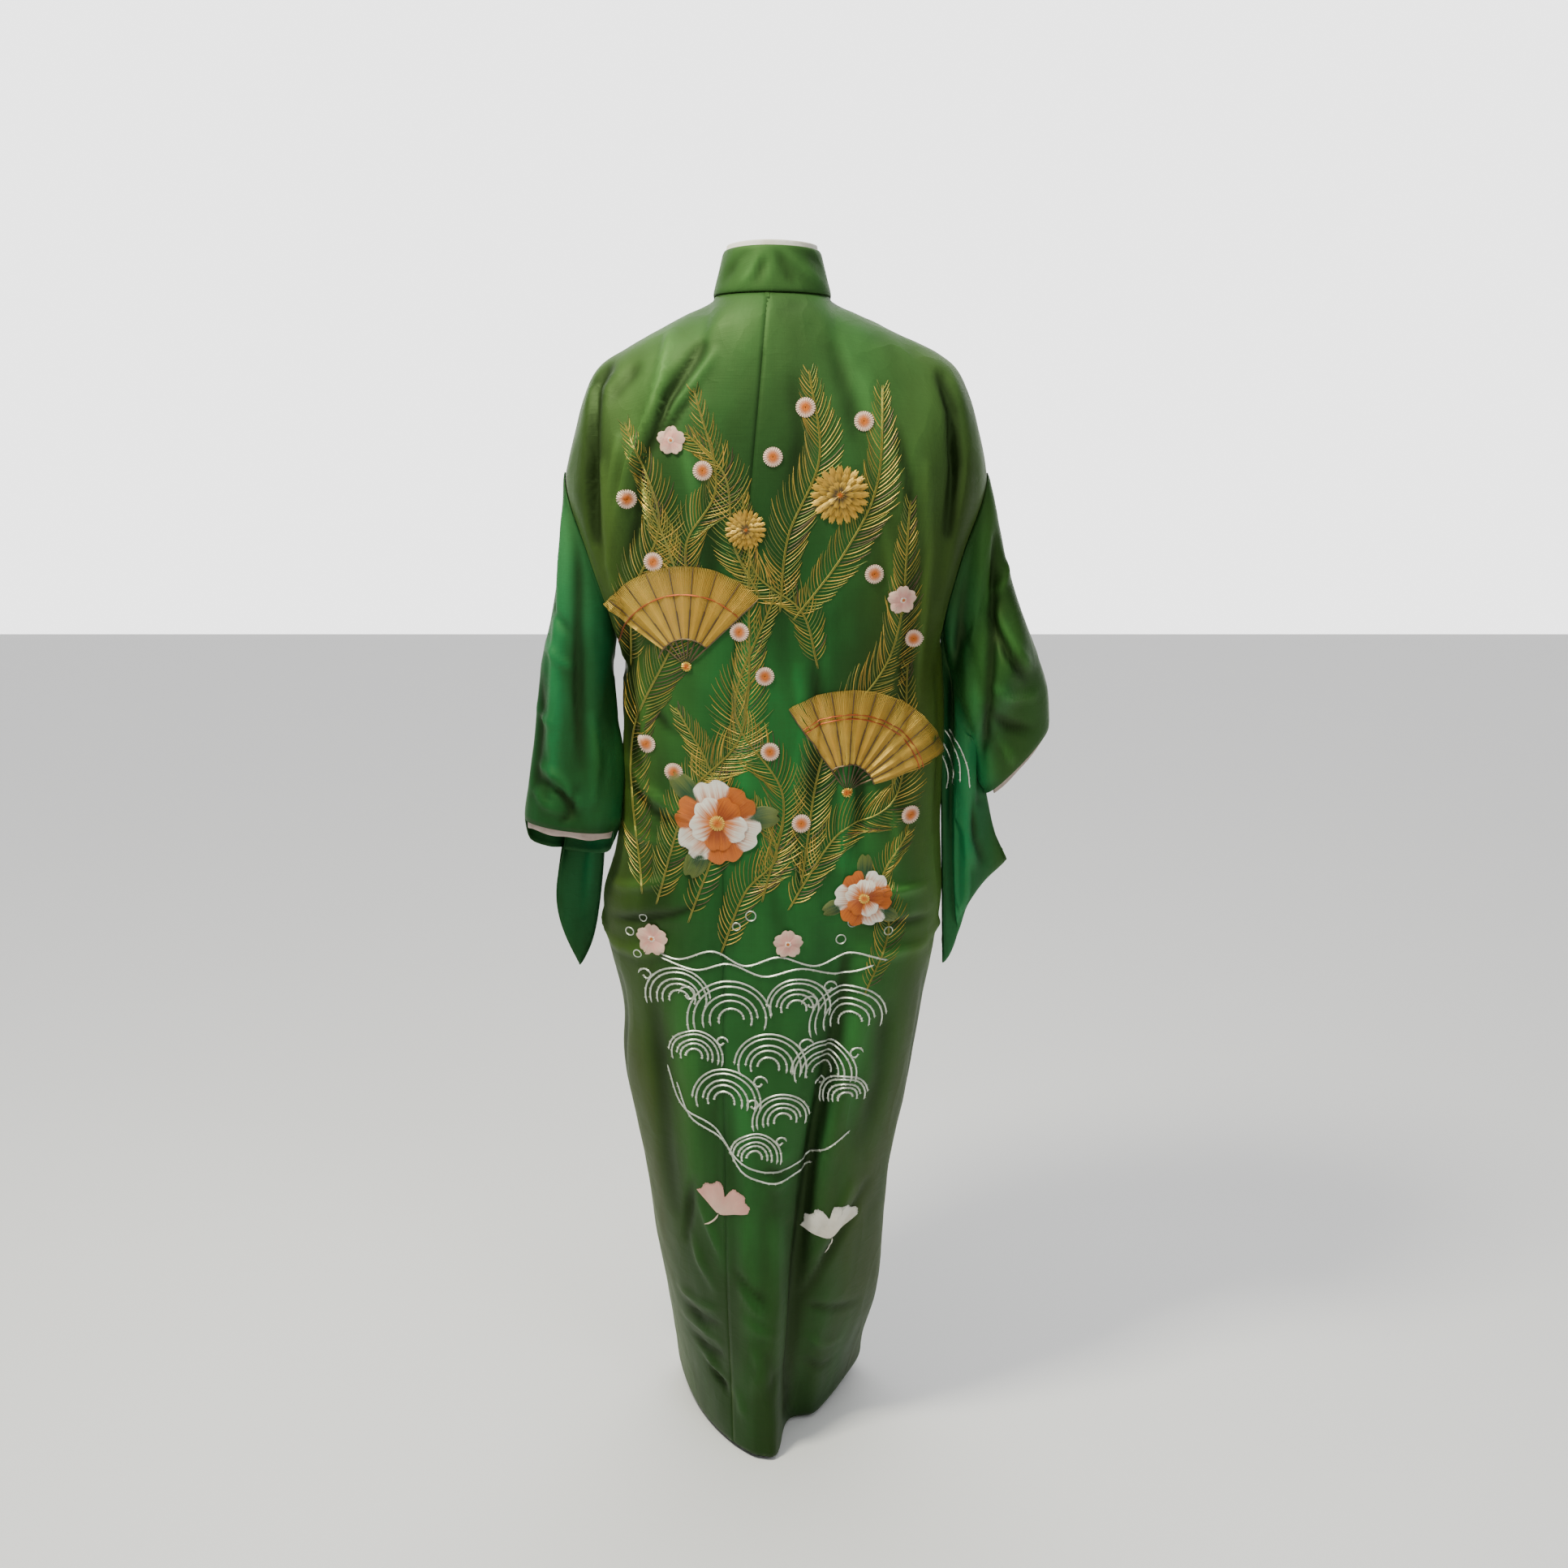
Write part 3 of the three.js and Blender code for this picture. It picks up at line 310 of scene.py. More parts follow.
BACK_CREASES = on("back", [
    (8, 5.5, 0.5, (116, 1446), (128, 1385), (137, 1356), (160, 1305), (176, 1245), (190, 1180)),
    (9, -5.0, 0.2, (78, 1436), (98, 1406), (116, 1380), (127, 1352), (146, 1310)),
    (6, 2.6, 0.2, (62, 1430), (86, 1396), (108, 1368), (122, 1340)),
    (7, -2.6, 0.0, (84, 1384), (104, 1362), (128, 1320)),
    (10, -2.4, 0.2, (150, 1420), (168, 1395), (186, 1375)),
    (8, -9.0, 0.3, (190, 1412), (206, 1392), (209, 1340), (210, 1280), (206, 1210)),
    (6, 3.4, 0.0, (196, 1300), (192, 1220), (184, 1150), (186, 1090)),
    (9, -5.0, 0.4, (184, 1140), (176, 1060), (172, 980), (170, 900)),
    (8, 3.0, 0.2, (160, 1120), (154, 1040), (150, 960), (152, 900)),
    (7, -2.2, 0.0, (142, 1010), (126, 985), (108, 975)),
    (8, 3.4, 0.4, (178, 930), (150, 900), (120, 880), (96, 872)),
    (7, -3.6, 0.2, (176, 900), (148, 876), (118, 858)),
    (7, 2.4, 0.2, (186, 850), (160, 838), (128, 836)),
    (16, -2.4, 0.0, (60, 1290), (66, 1200), (62, 1110)),
    (6, -4.0, 0.3, (140, 1330), (150, 1290), (152, 1240), (168, 1190)),
    (6, 3.6, 0.3, (176, 1330), (186, 1270), (188, 1210)),
    (9, 2.0, 0.2, (100, 1330), (86, 1270), (84, 1200)),
    (12, -2.0, 0.2, (-30, 1400), (-38, 1330), (-26, 1260)),
    (7, -3.2, 0.3, (-150, 1340), (-164, 1290), (-170, 1230)),
    (8, 2.6, 0.3, (-134, 1240), (-150, 1170), (-156, 1090)),
    (7, -2.6, 0.3, (104, 850), (92, 810), (96, 776)),
    (7, -2.8, 0.3, (-30, 860), (-40, 810), (-34, 770)),
    (7, 2.8, 0.3, (-150, 880), (-160, 840), (-150, 800)),
    (15, 2.6, 0.2, (30, 1180), (22, 1080), (28, 960), (40, 850)),
    (9, 3.6, 0.4, (-36, 1060), (-44, 980), (-30, 900)),
    (9, -3.4, 0.2, (-56, 1070), (-62, 985), (-50, 890)),
    (9, 3.6, 0.4, (-84, 990), (-96, 900), (-88, 810)),
    (10, -3.0, 0.0, (-104, 980), (-112, 900), (-110, 820)),
    (8, -9.0, 0.3, (-204, 1400), (-218, 1360), (-222, 1300), (-214, 1220)),
    (7, 3.2, 0.2, (-186, 1300), (-192, 1200), (-186, 1110), (-182, 1020)),
    (10, -3.8, 0.3, (-172, 1180), (-170, 1080), (-166, 960), (-164, 880)),
    (16, 2.4, 0.2, (-110, 1400), (-132, 1330), (-146, 1250)),
    (12, -1.8, 0.0, (-80, 1430), (-94, 1380), (-104, 1320)),
    (7, 3.4, 0.5, (196, 770), (160, 778), (124, 792)),
    (6, -3.4, 0.3, (200, 728), (162, 737), (120, 748), (86, 762)),
    (8, 3.0, 0.3, (204, 690), (170, 690), (130, 700)),
    (7, 3.2, 0.5, (-196, 772), (-158, 774), (-116, 786)),
    (6, -3.2, 0.3, (-200, 730), (-160, 732), (-112, 738)),
    (8, 2.8, 0.3, (-198, 690), (-164, 694), (-126, 690)),
    (9, -8.6, 0.5, (-96, 690), (-84, 600), (-66, 500), (-50, 400), (-36, 260), (-27, 120), (-24, 30)),
    (14, 3.6, 0.2, (-10, 330), (-8, 200), (-4, 90)),
    (14, 3.4, 0.2, (-122, 700), (-112, 600), (-92, 500), (-70, 400), (-60, 250)),
    (14, -2.4, 0.0, (-150, 620), (-142, 520), (-120, 430)),
    (14, -3.0, 0.2, (150, 640), (140, 540), (136, 440), (124, 330)),
    (16, 2.8, 0.0, (112, 660), (104, 560), (98, 450), (96, 360)),
    (12, -3.2, 0.3, (66, 620), (62, 500), (60, 380), (54, 240), (52, 120)),
    (15, 2.8, 0.0, (36, 560), (30, 420), (26, 300), (24, 180)),
    (6, -3.6, 0.3, (98, 384), (106, 340), (110, 290)),
    (5, 3.6, 0.6, (90, 346), (74, 306), (58, 266)),
    (5, 2.4, 0.4, (104, 300), (92, 260), (74, 226)),
    (7, -2.8, 0.2, (44, 262), (26, 240), (8, 220)),
    (7, 3.0, 0.3, (34, 234), (18, 212), (0, 192)),
    (6, 2.0, 0.2, (28, 190), (10, 176), (-8, 170)),
    (5, 2.0, 0.4, (8, 430), (-8, 420), (-26, 424)),
    (5, -2.2, 0.2, (6, 408), (-10, 398), (-28, 402)),
    (5, 1.8, 0.2, (4, 388), (-10, 380), (-24, 382)),
    (7, 2.6, 0.4, (20, 150), (12, 120), (20, 88)),
    (7, -2.4, 0.2, (2, 146), (-4, 110), (4, 76)),
    (5, 3.0, 0.4, (120, 196), (96, 190), (70, 194)),
    (5, -3.0, 0.2, (118, 176), (94, 168), (66, 172)),
    (5, 3.0, 0.4, (116, 152), (92, 150), (64, 142)),
    (5, -2.8, 0.2, (106, 130), (86, 122), (60, 122)),
    (5.5, 3.4, 0.4, (92, 112), (74, 100), (56, 84)),
    (5, -3.4, 0.4, (80, 90), (62, 78), (48, 58)),
    (5, 3.0, 0.3, (56, 92), (44, 72), (36, 48)),
    (7, -3.8, 0.4, (-128, 360), (-100, 304), (-70, 252), (-44, 200)),
    (7, 2.8, 0.3, (-108, 366), (-82, 310), (-58, 264)),
    (6, -2.6, 0.3, (-50, 190), (-80, 176), (-114, 160)),
    (6, 2.2, 0.3, (-52, 140), (-70, 116), (-92, 110)),
    (6, -2.2, 0.2, (-46, 100), (-66, 80), (-84, 78)),
])
FRONT_CREASES = on("front", [
    (12, 3.4, 0.3, (150, 1400), (140, 1300), (120, 1180), (98, 1080)),
    (11, -3.2, 0.2, (170, 1380), (162, 1280), (146, 1160)),
    (12, 3.2, 0.3, (-150, 1390), (-146, 1290), (-128, 1200), (-112, 1120)),
    (11, -3.0, 0.2, (-178, 1360), (-172, 1260), (-150, 1150)),
    (10, 3.2, 0.4, (196, 1090), (160, 1000), (120, 930), (70, 880)),
    (9, -3.2, 0.2, (190, 1040), (150, 950), (104, 884)),
    (9, 3.0, 0.4, (-190, 1080), (-160, 990), (-128, 900)),
    (8, 3.0, 0.4, (188, 800), (140, 790), (80, 800), (20, 820)),
    (8, -3.0, 0.2, (196, 766), (140, 754), (84, 762)),
    (8, 3.0, 0.4, (-190, 790), (-150, 776), (-100, 784)),
    (8, -2.8, 0.2, (-196, 750), (-150, 742), (-104, 752)),
    (14, -3.6, 0.3, (150, 700), (136, 560), (128, 400), (112, 240), (108, 110)),
    (15, 3.2, 0.1, (112, 690), (98, 540), (92, 380), (84, 220)),
    (13, -3.4, 0.3, (66, 720), (52, 560), (40, 400), (34, 220), (30, 90)),
    (16, 2.8, 0.0, (16, 700), (8, 560), (4, 400), (-2, 240)),
    (13, -2.8, 0.2, (-60, 700), (-54, 540), (-44, 400), (-40, 230)),
    (14, 2.6, 0.2, (-92, 640), (-84, 500), (-76, 360), (-70, 200)),
    (13, -3.0, 0.3, (-160, 640), (-150, 500), (-146, 360), (-132, 220)),
    (6, 2.4, 0.3, (100, 180), (74, 168), (46, 176)),
    (6, -2.4, 0.2, (96, 140), (70, 128), (44, 134)),
    (6, 2.2, 0.2, (-96, 170), (-112, 150), (-120, 126)),
]) + on("left", [
    (46, 3.4, 0.0, (10, 970), (10, 900), (10, 800)),
    (30, -4.6, 0.0, (10, 1060), (10, 1030)),
    (10, -2.6, 0.2, (30, 1060), (10, 960), (20, 860)),
    (9, 2.8, 0.3, (60, 690), (30, 700), (-10, 716), (-50, 712)),
    (12, -2.8, 0.2, (40, 640), (20, 520), (0, 400), (-30, 260)),
    (12, 2.6, 0.2, (-30, 620), (-44, 480), (-60, 330)),
]) + on("right", [
    (50, 5.0, 0.0, (0, 1090), (0, 1000), (5, 900), (10, 780), (10, 690)),
    (10, -2.6, 0.2, (40, 1050), (26, 940), (34, 840)),
    (9, 2.8, 0.3, (60, 694), (24, 706), (-20, 700), (-60, 716)),
    (12, -2.8, 0.2, (36, 640), (10, 500), (-6, 360), (-40, 220)),
    (12, 2.6, 0.2, (-34, 640), (-48, 480), (-70, 300)),
])
LEFT_SLEEVE_CREASES = on("back", [
    (9, 4.2, 0.4, (246, 1250), (252, 1150), (262, 1060), (268, 960), (266, 880)),
    (9, -4.2, 0.2, (228, 1220), (232, 1120), (234, 1020), (232, 930)),
    (7, -3.6, 0.3, (282, 1040), (286, 960), (294, 890)),
    (6, 2.7, 0.2, (292, 1000), (280, 985), (262, 980)),
    (7, 3.9, 0.4, (288, 930), (262, 914), (236, 880)),
    (6, -3.3, 0.2, (286, 912), (258, 896), (236, 862)),
    (6, 2.8, 0.3, (296, 900), (280, 880), (262, 872)),
    (7, 3.0, 0.2, (218, 990), (214, 930), (220, 880)),
    (6, -2.6, 0.2, (270, 1160), (262, 1120), (244, 1096)),
    (6, 2.6, 0.3, (276, 1080), (258, 1060), (240, 1050)),
    (6, -3.0, 0.3, (240, 900), (250, 866), (270, 850)),
]) + on("right", [
    (46, 5.0, 0.0, (0, 966), (20, 920), (30, 860), (40, 780)),
    (30, -2.6, 0.0, (0, 1056), (10, 1030)),
    (9, 2.7, 0.2, (20, 1040), (26, 960), (40, 880)),
]) + on("front", [
    (10, 4.2, 0.3, (256, 1220), (258, 1100), (272, 980), (274, 890)),
    (9, -4.2, 0.2, (232, 1180), (236, 1060), (240, 940)),
    (7, 3.6, 0.3, (290, 960), (266, 930), (240, 900)),
    (8, 3.3, 0.3, (226, 1000), (224, 900), (232, 800), (242, 710)),
]) + on("left", [
    (10, -3.3, 0.2, (10, 1240), (16, 1120), (20, 1000), (30, 890)),
])
RIGHT_SLEEVE_CREASES = on("back", [
    (13, 5.7, 0.4, (-258, 1250), (-256, 1160), (-252, 1060), (-250, 960), (-250, 850)),
    (7, -4.9, 0.4, (-276, 1210), (-274, 1120), (-270, 1030), (-268, 940), (-268, 870)),
    (8, -3.2, 0.2, (-240, 1180), (-234, 1080), (-230, 960), (-232, 820)),
    (7, 3.0, 0.3, (-276, 1120), (-300, 1080), (-322, 1050)),
    (6, -4.6, 0.3, (-268, 1120), (-290, 1074), (-318, 1036)),
    (7, 3.2, 0.3, (-272, 1030), (-300, 1014), (-330, 1012)),
    (7, -3.2, 0.2, (-268, 1000), (-298, 976), (-330, 968)),
    (7, 3.0, 0.3, (-286, 960), (-304, 930), (-320, 910)),
    (7, 3.5, 0.3, (-236, 960), (-238, 860), (-242, 760), (-250, 690)),
    (7, -3.0, 0.2, (-254, 880), (-262, 820), (-276, 790)),
    (6, -3.4, 0.3, (-240, 1100), (-252, 1070), (-262, 1020)),
    (6, 2.8, 0.3, (-300, 1180), (-286, 1150), (-270, 1140)),
    (5, 3.0, 0.3, (-244, 860), (-256, 830), (-262, 780)),
]) + on("front", [
    (10, 4.1, 0.3, (-270, 1220), (-284, 1120), (-300, 1020), (-318, 930)),
    (9, -4.1, 0.2, (-246, 1160), (-256, 1050), (-262, 940), (-258, 820)),
    (7, 3.2, 0.3, (-330, 1040), (-300, 1000), (-276, 980)),
]) + on("left", [
    (50, 7.0, 0.0, (0, 1100), (0, 1040), (0, 940), (-4, 840), (-8, 740), (-8, 650)),
    (9, 2.7, 0.2, (-10, 980), (-16, 880), (-8, 760)),
]) + on("right", [
    (9, -3.0, 0.2, (6, 1220), (0, 1120), (8, 1030)),
])
COLLAR_CREASES = on("back", [
    (5, 1.7, 0.4, (0, 1554), (16, 1526), (36, 1498)),
    (5, 1.6, 0.3, (-12, 1552), (-38, 1528), (-66, 1502)),
    (5, 1.2, 0.2, (-5, 1550), (-3, 1524), (2, 1502)),
    (5, -1.4, 0.2, (4, 1546), (10, 1520), (16, 1500)),
    (5, -1.4, 0.2, (-12, 1544), (-22, 1520), (-30, 1502)),
    (5, -1.3, 0.2, (20, 1550), (38, 1532), (52, 1508)),
    (5, -1.2, 0.2, (-30, 1552), (-50, 1540), (-66, 1526)),
]) + on("front", [
    (6, 1.4, 0.2, (60, 1500), (52, 1440), (30, 1380)),
    (6, -1.5, 0.2, (10, 1360), (-20, 1300), (-50, 1240)),
    (6, 1.5, 0.2, (-60, 1180), (-90, 1080), (-110, 980)),
    (6, 1.4, 0.2, (-40, 1450), (-20, 1400), (4, 1350)),
])

# Each side's axis across, its axis outwards, and which way along that it faces
SIDES = {"back": (0, 1, 1), "front": (0, 1, -1), "left": (1, 0, 1), "right": (1, 0, -1)}


# The sheets of cloth

def add_object(name, data):
    added = bpy.data.objects.new(name, data)
    bpy.context.scene.collection.objects.link(added)
    return added


def deselect():
    for thing in bpy.context.selected_objects:
        thing.select_set(False)


def activate(piece):
    deselect()
    piece.select_set(True)
    bpy.context.view_layer.objects.active = piece


def apply(piece, kind, **settings):
    activate(piece)
    modifier = piece.modifiers.new(kind.title(), kind)
    for name, value in settings.items():
        setattr(modifier, name, value)
    bpy.ops.object.modifier_apply(modifier=modifier.name)


def parts_of(shell, rim_angle):
    """The faces of a shell in groups that meet at soft edges: its two sides, and the strips of its rim."""
    left = set(shell.faces)
    groups = []
    while left:
        group = [left.pop()]
        for face in group:
            for edge in face.edges:
                if len(edge.link_faces) != 2 or edge.calc_face_angle(0.0) > rim_angle:
                    continue
                for near in edge.link_faces:
                    if near in left:
                        left.discard(near)
                        group.append(near)
        groups.append(group)
    return groups


def outer_side(name, nodes, tube):
    """The outer side of the walls of some nodes as a new sheet of quads. A tube faces away from its own
    middle, and any other piece faces away from the middle of the garment."""
    shell = bmesh.new()
    for node in nodes:
        shell.from_mesh(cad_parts[node].data)
    bmesh.ops.remove_doubles(shell, verts=shell.verts, dist=MERGE)
    shell.normal_update()
    shell.faces.index_update()
    places = np.array([vertex.co for vertex in shell.verts])

    def outward(face):
        centre = face.calc_center_median()
        if tube:
            middle = places[abs(places[:, 2] - centre.z) < TUBE_SLICE].mean(axis=0)
        else:
            middle = (0.0, 0.0, min(centre.z, SHOULDER_MIDDLE))
        return face.normal.dot(centre - Vector(middle)) * face.calc_area()

    whole = sum(face.calc_area() for face in shell.faces)
    kept = set()
    for group in parts_of(shell, TUBE_RIM_ANGLE if tube else RIM_ANGLE):
        share = sum(face.calc_area() for face in group) / whole
        if share > LEAST_SIDE and sum(outward(face) for face in group) > 0:
            kept.update(group)
    bmesh.ops.delete(shell, geom=[face for face in shell.faces if face not in kept], context="FACES")
    bmesh.ops.join_triangles(
        shell, faces=shell.faces, angle_face_threshold=FLAT_QUAD, angle_shape_threshold=SQUARE_QUAD
    )
    mesh = bpy.data.meshes.new(name)
    shell.to_mesh(mesh)
    shell.free()
    return add_object(name, mesh)


def halve_long_edges(piece):
    sheet = bmesh.new()
    sheet.from_mesh(piece.data)
    long_edges = [edge for edge in sheet.edges if edge.calc_length() > LONG_EDGE]
    bmesh.ops.subdivide_edges(sheet, edges=long_edges, cuts=1, use_grid_fill=True)
    sheet.to_mesh(piece.data)
    sheet.free()


def read(piece, kind):
    values = np.zeros(len(piece.data.vertices) * 3, np.float32)
    piece.data.vertices.foreach_get(kind, values)
    return values.reshape(-1, 3).astype(float)


def move(piece, places):
    piece.data.vertices.foreach_set("co", places.astype(np.float32).ravel())
    piece.data.update()


def crease_height(crease, places, normals):
    """How far a crease moves each point of the cloth out, in metres."""
    side, width, out, steep, *line = crease
    axis, facing, sign = SIDES[side]
    across = places[:, axis] / MM
    height = places[:, 2] / MM + NECK_BASE
    lengths = [math.dist(a, b) for a, b in zip(line, line[1:])]
    best = np.full(len(places), 1e9)
    signed = np.zeros(len(places))
    along = np.zeros(len(places))
    done = 0.0
    for (x0, z0), (x1, z1), length in zip(line, line[1:], lengths):
        part = ((across - x0) * (x1 - x0) + (height - z0) * (z1 - z0)) / length**2
        part = np.clip(part, 0, 1)
        dx = across - x0 - part * (x1 - x0)
        dz = height - z0 - part * (z1 - z0)
        distance = np.hypot(dx, dz)
        nearer = distance < best
        best = np.where(nearer, distance, best)
        signed = np.where(nearer, (dx * (z1 - z0) - dz * (x1 - x0)) / length, signed)
        along = np.where(nearer, (done + part * length) / sum(lengths), along)
        done += length
    reach = max(CREASE_WIDTH * width, LEAST_REACH) * (1 + steep * 0.5 * np.clip(signed / width, -1, 1))
    swell = np.sin(np.pi * (0.06 + 0.88 * along)) ** 0.7 * (0.85 + 0.15 * np.sin(along * 9 + line[0][0]))
    facing = np.clip((normals[:, facing] * sign - 0.1) / 0.4, 0, 1)
    return out * CREASE_SHARE * MM * swell * np.exp(-((best / reach) ** 2)) * facing


def crease(piece, creases, ripple):
    """Moves the sheet out along its normals for its creases and in at its edges, which meet the next
    piece at the seam."""
    places = read(piece, "co")
    normals = read(piece, "normal")
    out = sum((crease_height(row, places, normals) for row in creases), np.zeros(len(places)))
    for i, (x, y, z) in enumerate(places):
        broad = noise.noise((x * 16, y * 16, z * 5 + 3))
        fine = noise.noise((x * 48 + 7, y * 48, z * 22))
        out[i] += ripple * (broad * 1.6 + fine * 0.7)
    sheet = bmesh.new()
    sheet.from_mesh(piece.data)
    edges = {}
    for edge in sheet.edges:
        if not edge.is_boundary:
            continue
        face = edge.link_faces[0]
        first, last = (vertex.co for vertex in edge.verts)
        away = (last - first).cross(face.normal)
        away *= math.copysign(1.0, away.dot((first + last) / 2 - face.calc_center_median()))
        for vertex in edge.verts:
            edges[vertex.index] = edges.get(vertex.index, Vector()) + away
    sheet.free()
    border = KDTree(len(edges))
    for index in edges:
        border.insert(places[index], index)
    border.balance()
    for i, place in enumerate(places):
        near = border.find(place)[2] / SEAM_WIDTH
        calm = 1 - math.exp(-((near / CALM_SEAMS) ** 2))
        out[i] = out[i] * calm - SEAM_ROLL * math.exp(-near * near)
    # The creases' depth, kept for the silk's painted shade in the troughs and painted light on the ridges.
    shade = piece.data.attributes.new("crease", "FLOAT", "POINT")
    shade.data.foreach_set("value", np.clip(out / PAINTED_SHADE_DEPTH, -1, 1).astype(np.float32))
    places += normals * out[:, None]
    for index, away in edges.items():
        at_neck = NECK_SEAM[0] < places[index][2] < NECK_SEAM[1]
        places[index] += np.array(away.normalized()) * (NECK_SEAM_MEETS if at_neck else SEAM_MEETS)
    move(piece, places)


def lay_threads(piece, middle):
    """The piece's own map: round its middle and up along it, in metres, for the weave."""
    layer = piece.data.uv_layers.new(name="weave")
    places = read(piece, "co")
    side = math.copysign(1.0, middle[0])
    angle = np.arctan2(places[:, 1] - middle[1], (places[:, 0] - middle[0]) * side)
    over = np.clip(0.1 - abs(places[:, 1]), 0, 1) * (places[:, 2] > -0.2)
    coordinates = np.zeros((len(piece.data.loops), 2), np.float32)
    for face in piece.data.polygons:
        turns = [angle[vertex] for vertex in face.vertices]
        wraps = max(turns) - min(turns) > math.pi
        for loop, vertex, turn in zip(face.loop_indices, face.vertices, turns):
            if wraps and turn < 0:
                turn += 2 * math.pi
            coordinates[loop] = (turn * MAP_RADIUS, places[vertex, 2] + over[vertex])
    layer.data.foreach_set("uv", coordinates.ravel())


outer_sheets = {}


def tuck_under(piece, cover, middle):
    """Moves a lining in towards its middle until all of it lies behind the cloth that covers it."""
    places = read(piece, "co")
    for i, place in enumerate(places):
        near = outer_sheets[cover].find_nearest(Vector(place))[0]
        outward = Vector((place[0] - middle[0], place[1] - middle[1], 0)).normalized()
        past = (Vector(place) - near).dot(outward) + UNDER
        if past > 0:
            places[i] -= np.array(outward) * past
    move(piece, places)


def part_hem(piece):
    """Draws the two lobes of the hem together, so that the hem steps up sharply at its parting."""
    places = read(piece, "co")
    across = places[:, 0] - PARTING * MM
    reach = np.clip(1 - abs(across) / (PARTING_REACH * MM), 0, 1)
    low = np.clip((PARTING_TOP - places[:, 2] / MM - NECK_BASE) / PARTING_BLEND, 0, 1)
    back = places[:, 1] > 0
    places[:, 0] -= across * reach**0.6 * low * back * PARTING_SHARE
    move(piece, places)


def cloth_piece(
    name, nodes, finish, creases, middle, tube=False, ripple=RIPPLE, under=None, parted=False
):
    piece = outer_side(name, nodes, tube)
    apply(piece, "SUBSURF", levels=2, render_levels=2, boundary_smooth="PRESERVE_CORNERS")
    halve_long_edges(piece)
    crease(piece, creases, ripple)
    if parted:
        part_hem(piece)
    if under:
        tuck_under(piece, under, middle)
    corners = [list(face.vertices) for face in piece.data.polygons]
    outer_sheets[name] = BVHTree.FromPolygons(read(piece, "co").tolist(), corners)
    lay_threads(piece, middle)
    apply(piece, "SOLIDIFY", thickness=SHELL, offset=-1.0, use_rim=True)
    for face in piece.data.polygons:
        face.use_smooth = True
    piece.data.materials.append(finish)
    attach(piece, "root")
    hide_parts(*nodes)
    return piece


BODY_CREASES = BACK_CREASES + FRONT_CREASES
LEFT = (0.001, 0.0)
RIGHT = (-0.001, 0.0)
left_body = cloth_piece(
    "left_body_cloth", ["left_back", "left_front"], GREEN_SILK, BODY_CREASES, LEFT
)
right_body = cloth_piece(
    "right_body_cloth", ["right_back", "right_front"], GREEN_SILK, BODY_CREASES, RIGHT, parted=True
)
left_okumi = cloth_piece("left_okumi_cloth", ["left_okumi"], GREEN_SILK, FRONT_CREASES, LEFT)
right_okumi = cloth_piece("right_okumi_cloth", ["right_okumi"], GREEN_SILK, [], RIGHT)
left_sleeve = cloth_piece(
    "left_sleeve_cloth", ["left_sleeve"], LEFT_SLEEVE_SILK, LEFT_SLEEVE_CREASES, (0.245, 0.02),
    tube=True,
)
right_sleeve = cloth_piece(
    "right_sleeve_cloth", ["right_sleeve"], RIGHT_SLEEVE_SILK, RIGHT_SLEEVE_CREASES, (-0.28, 0.0),
    tube=True,
)
collar = cloth_piece(
    "collar_cloth", ["collar"], COLLAR_SILK, COLLAR_CREASES, RIGHT, ripple=0.0004
)
collar_lining = cloth_piece(
    "collar_lining_cloth", ["collar_lining"], PALE_LINING, [], RIGHT, ripple=0.0,
    under="collar_cloth",
)
left_cuff_lining = cloth_piece(
    "left_cuff_lining_cloth", ["left_cuff_lining"], PINK_LINING, [], (0.25, 0.03),
    ripple=0.0, under="left_sleeve_cloth",
)
right_cuff_lining = cloth_piece(
    "right_cuff_lining_cloth", ["right_cuff_lining"], PINK_LINING, [], (-0.32, 0.0),
    ripple=0.0, under="right_sleeve_cloth",
)


# The embroidery: ferns, folding fans, flowers, waves and leaves, all in raised thread. Places are
# across and in height, in millimetres. A thread is laid where a ray from behind meets the cloth.
GOLD = (0.72, 0.47, 0.07)
OLD_GOLD = (0.42, 0.27, 0.035)
OLIVE_GOLD = (0.30, 0.27, 0.04)
MOSS = (0.13, 0.17, 0.03)
UMBER = (0.13, 0.085, 0.04)
SILVER = (0.66, 0.70, 0.60)
WHITE = (0.86, 0.83, 0.74)
CREAM = (0.78, 0.72, 0.60)
ORANGE = (0.62, 0.17, 0.012)
RUST = (0.36, 0.07, 0.008)
PINK = (0.78, 0.42, 0.35)
PALE_PINK = (0.80, 0.58, 0.46)
LEAF = (0.014, 0.075, 0.022)
FERN_REACH = 1.45
FERN_BARBS = 5.2
PLEATS = 9
PLEAT_THREADS = 15
BUD_RADIUS = 11.5
RING_RADII = (4.5, 6.5)
STREAM_STEPS = 90
SLEEVE_STREAM_STEPS = 24
TOUCH_FROM = 0.4
TOUCH_DEPTH = 0.45
LEAST_FACING = 0.12
FRONDS = [
    [(158, 770), (170, 960), (104, 1130), (150, 1290), 34],
    [(140, 760), (96, 900), (30, 990), (22, 1190), 36],
    [(100, 740), (60, 860), (70, 930), (112, 1010), 30],
    [(8, 770), (-18, 900), (40, 1010), (-8, 1150), 34],
    [(-24, 760), (-84, 850), (-160, 900), (-170, 1060), 34],
    [(-40, 790), (-70, 960), (-150, 1080), (-168, 1260), 36],
    [(-14, 1130), (-24, 1220), (-60, 1310), (-48, 1410), 34],
    [(-30, 1120), (-90, 1200), (-128, 1280), (-134, 1392), 32],
    [(10, 1150), (40, 1210), (50, 1290), (96, 1340), 30],
    [(-60, 1060), (-40, 1130), (16, 1180), (30, 1270), 28],
    [(170, 1050), (160, 1150), (128, 1240), (168, 1350), 32],
    [(90, 1130), (96, 1210), (60, 1280), (86, 1390), 30],
    [(-120, 640), (-150, 720), (-140, 790), (-176, 850), 26],
    [(60, 700), (30, 780), (-10, 830), (20, 900), 30],
]
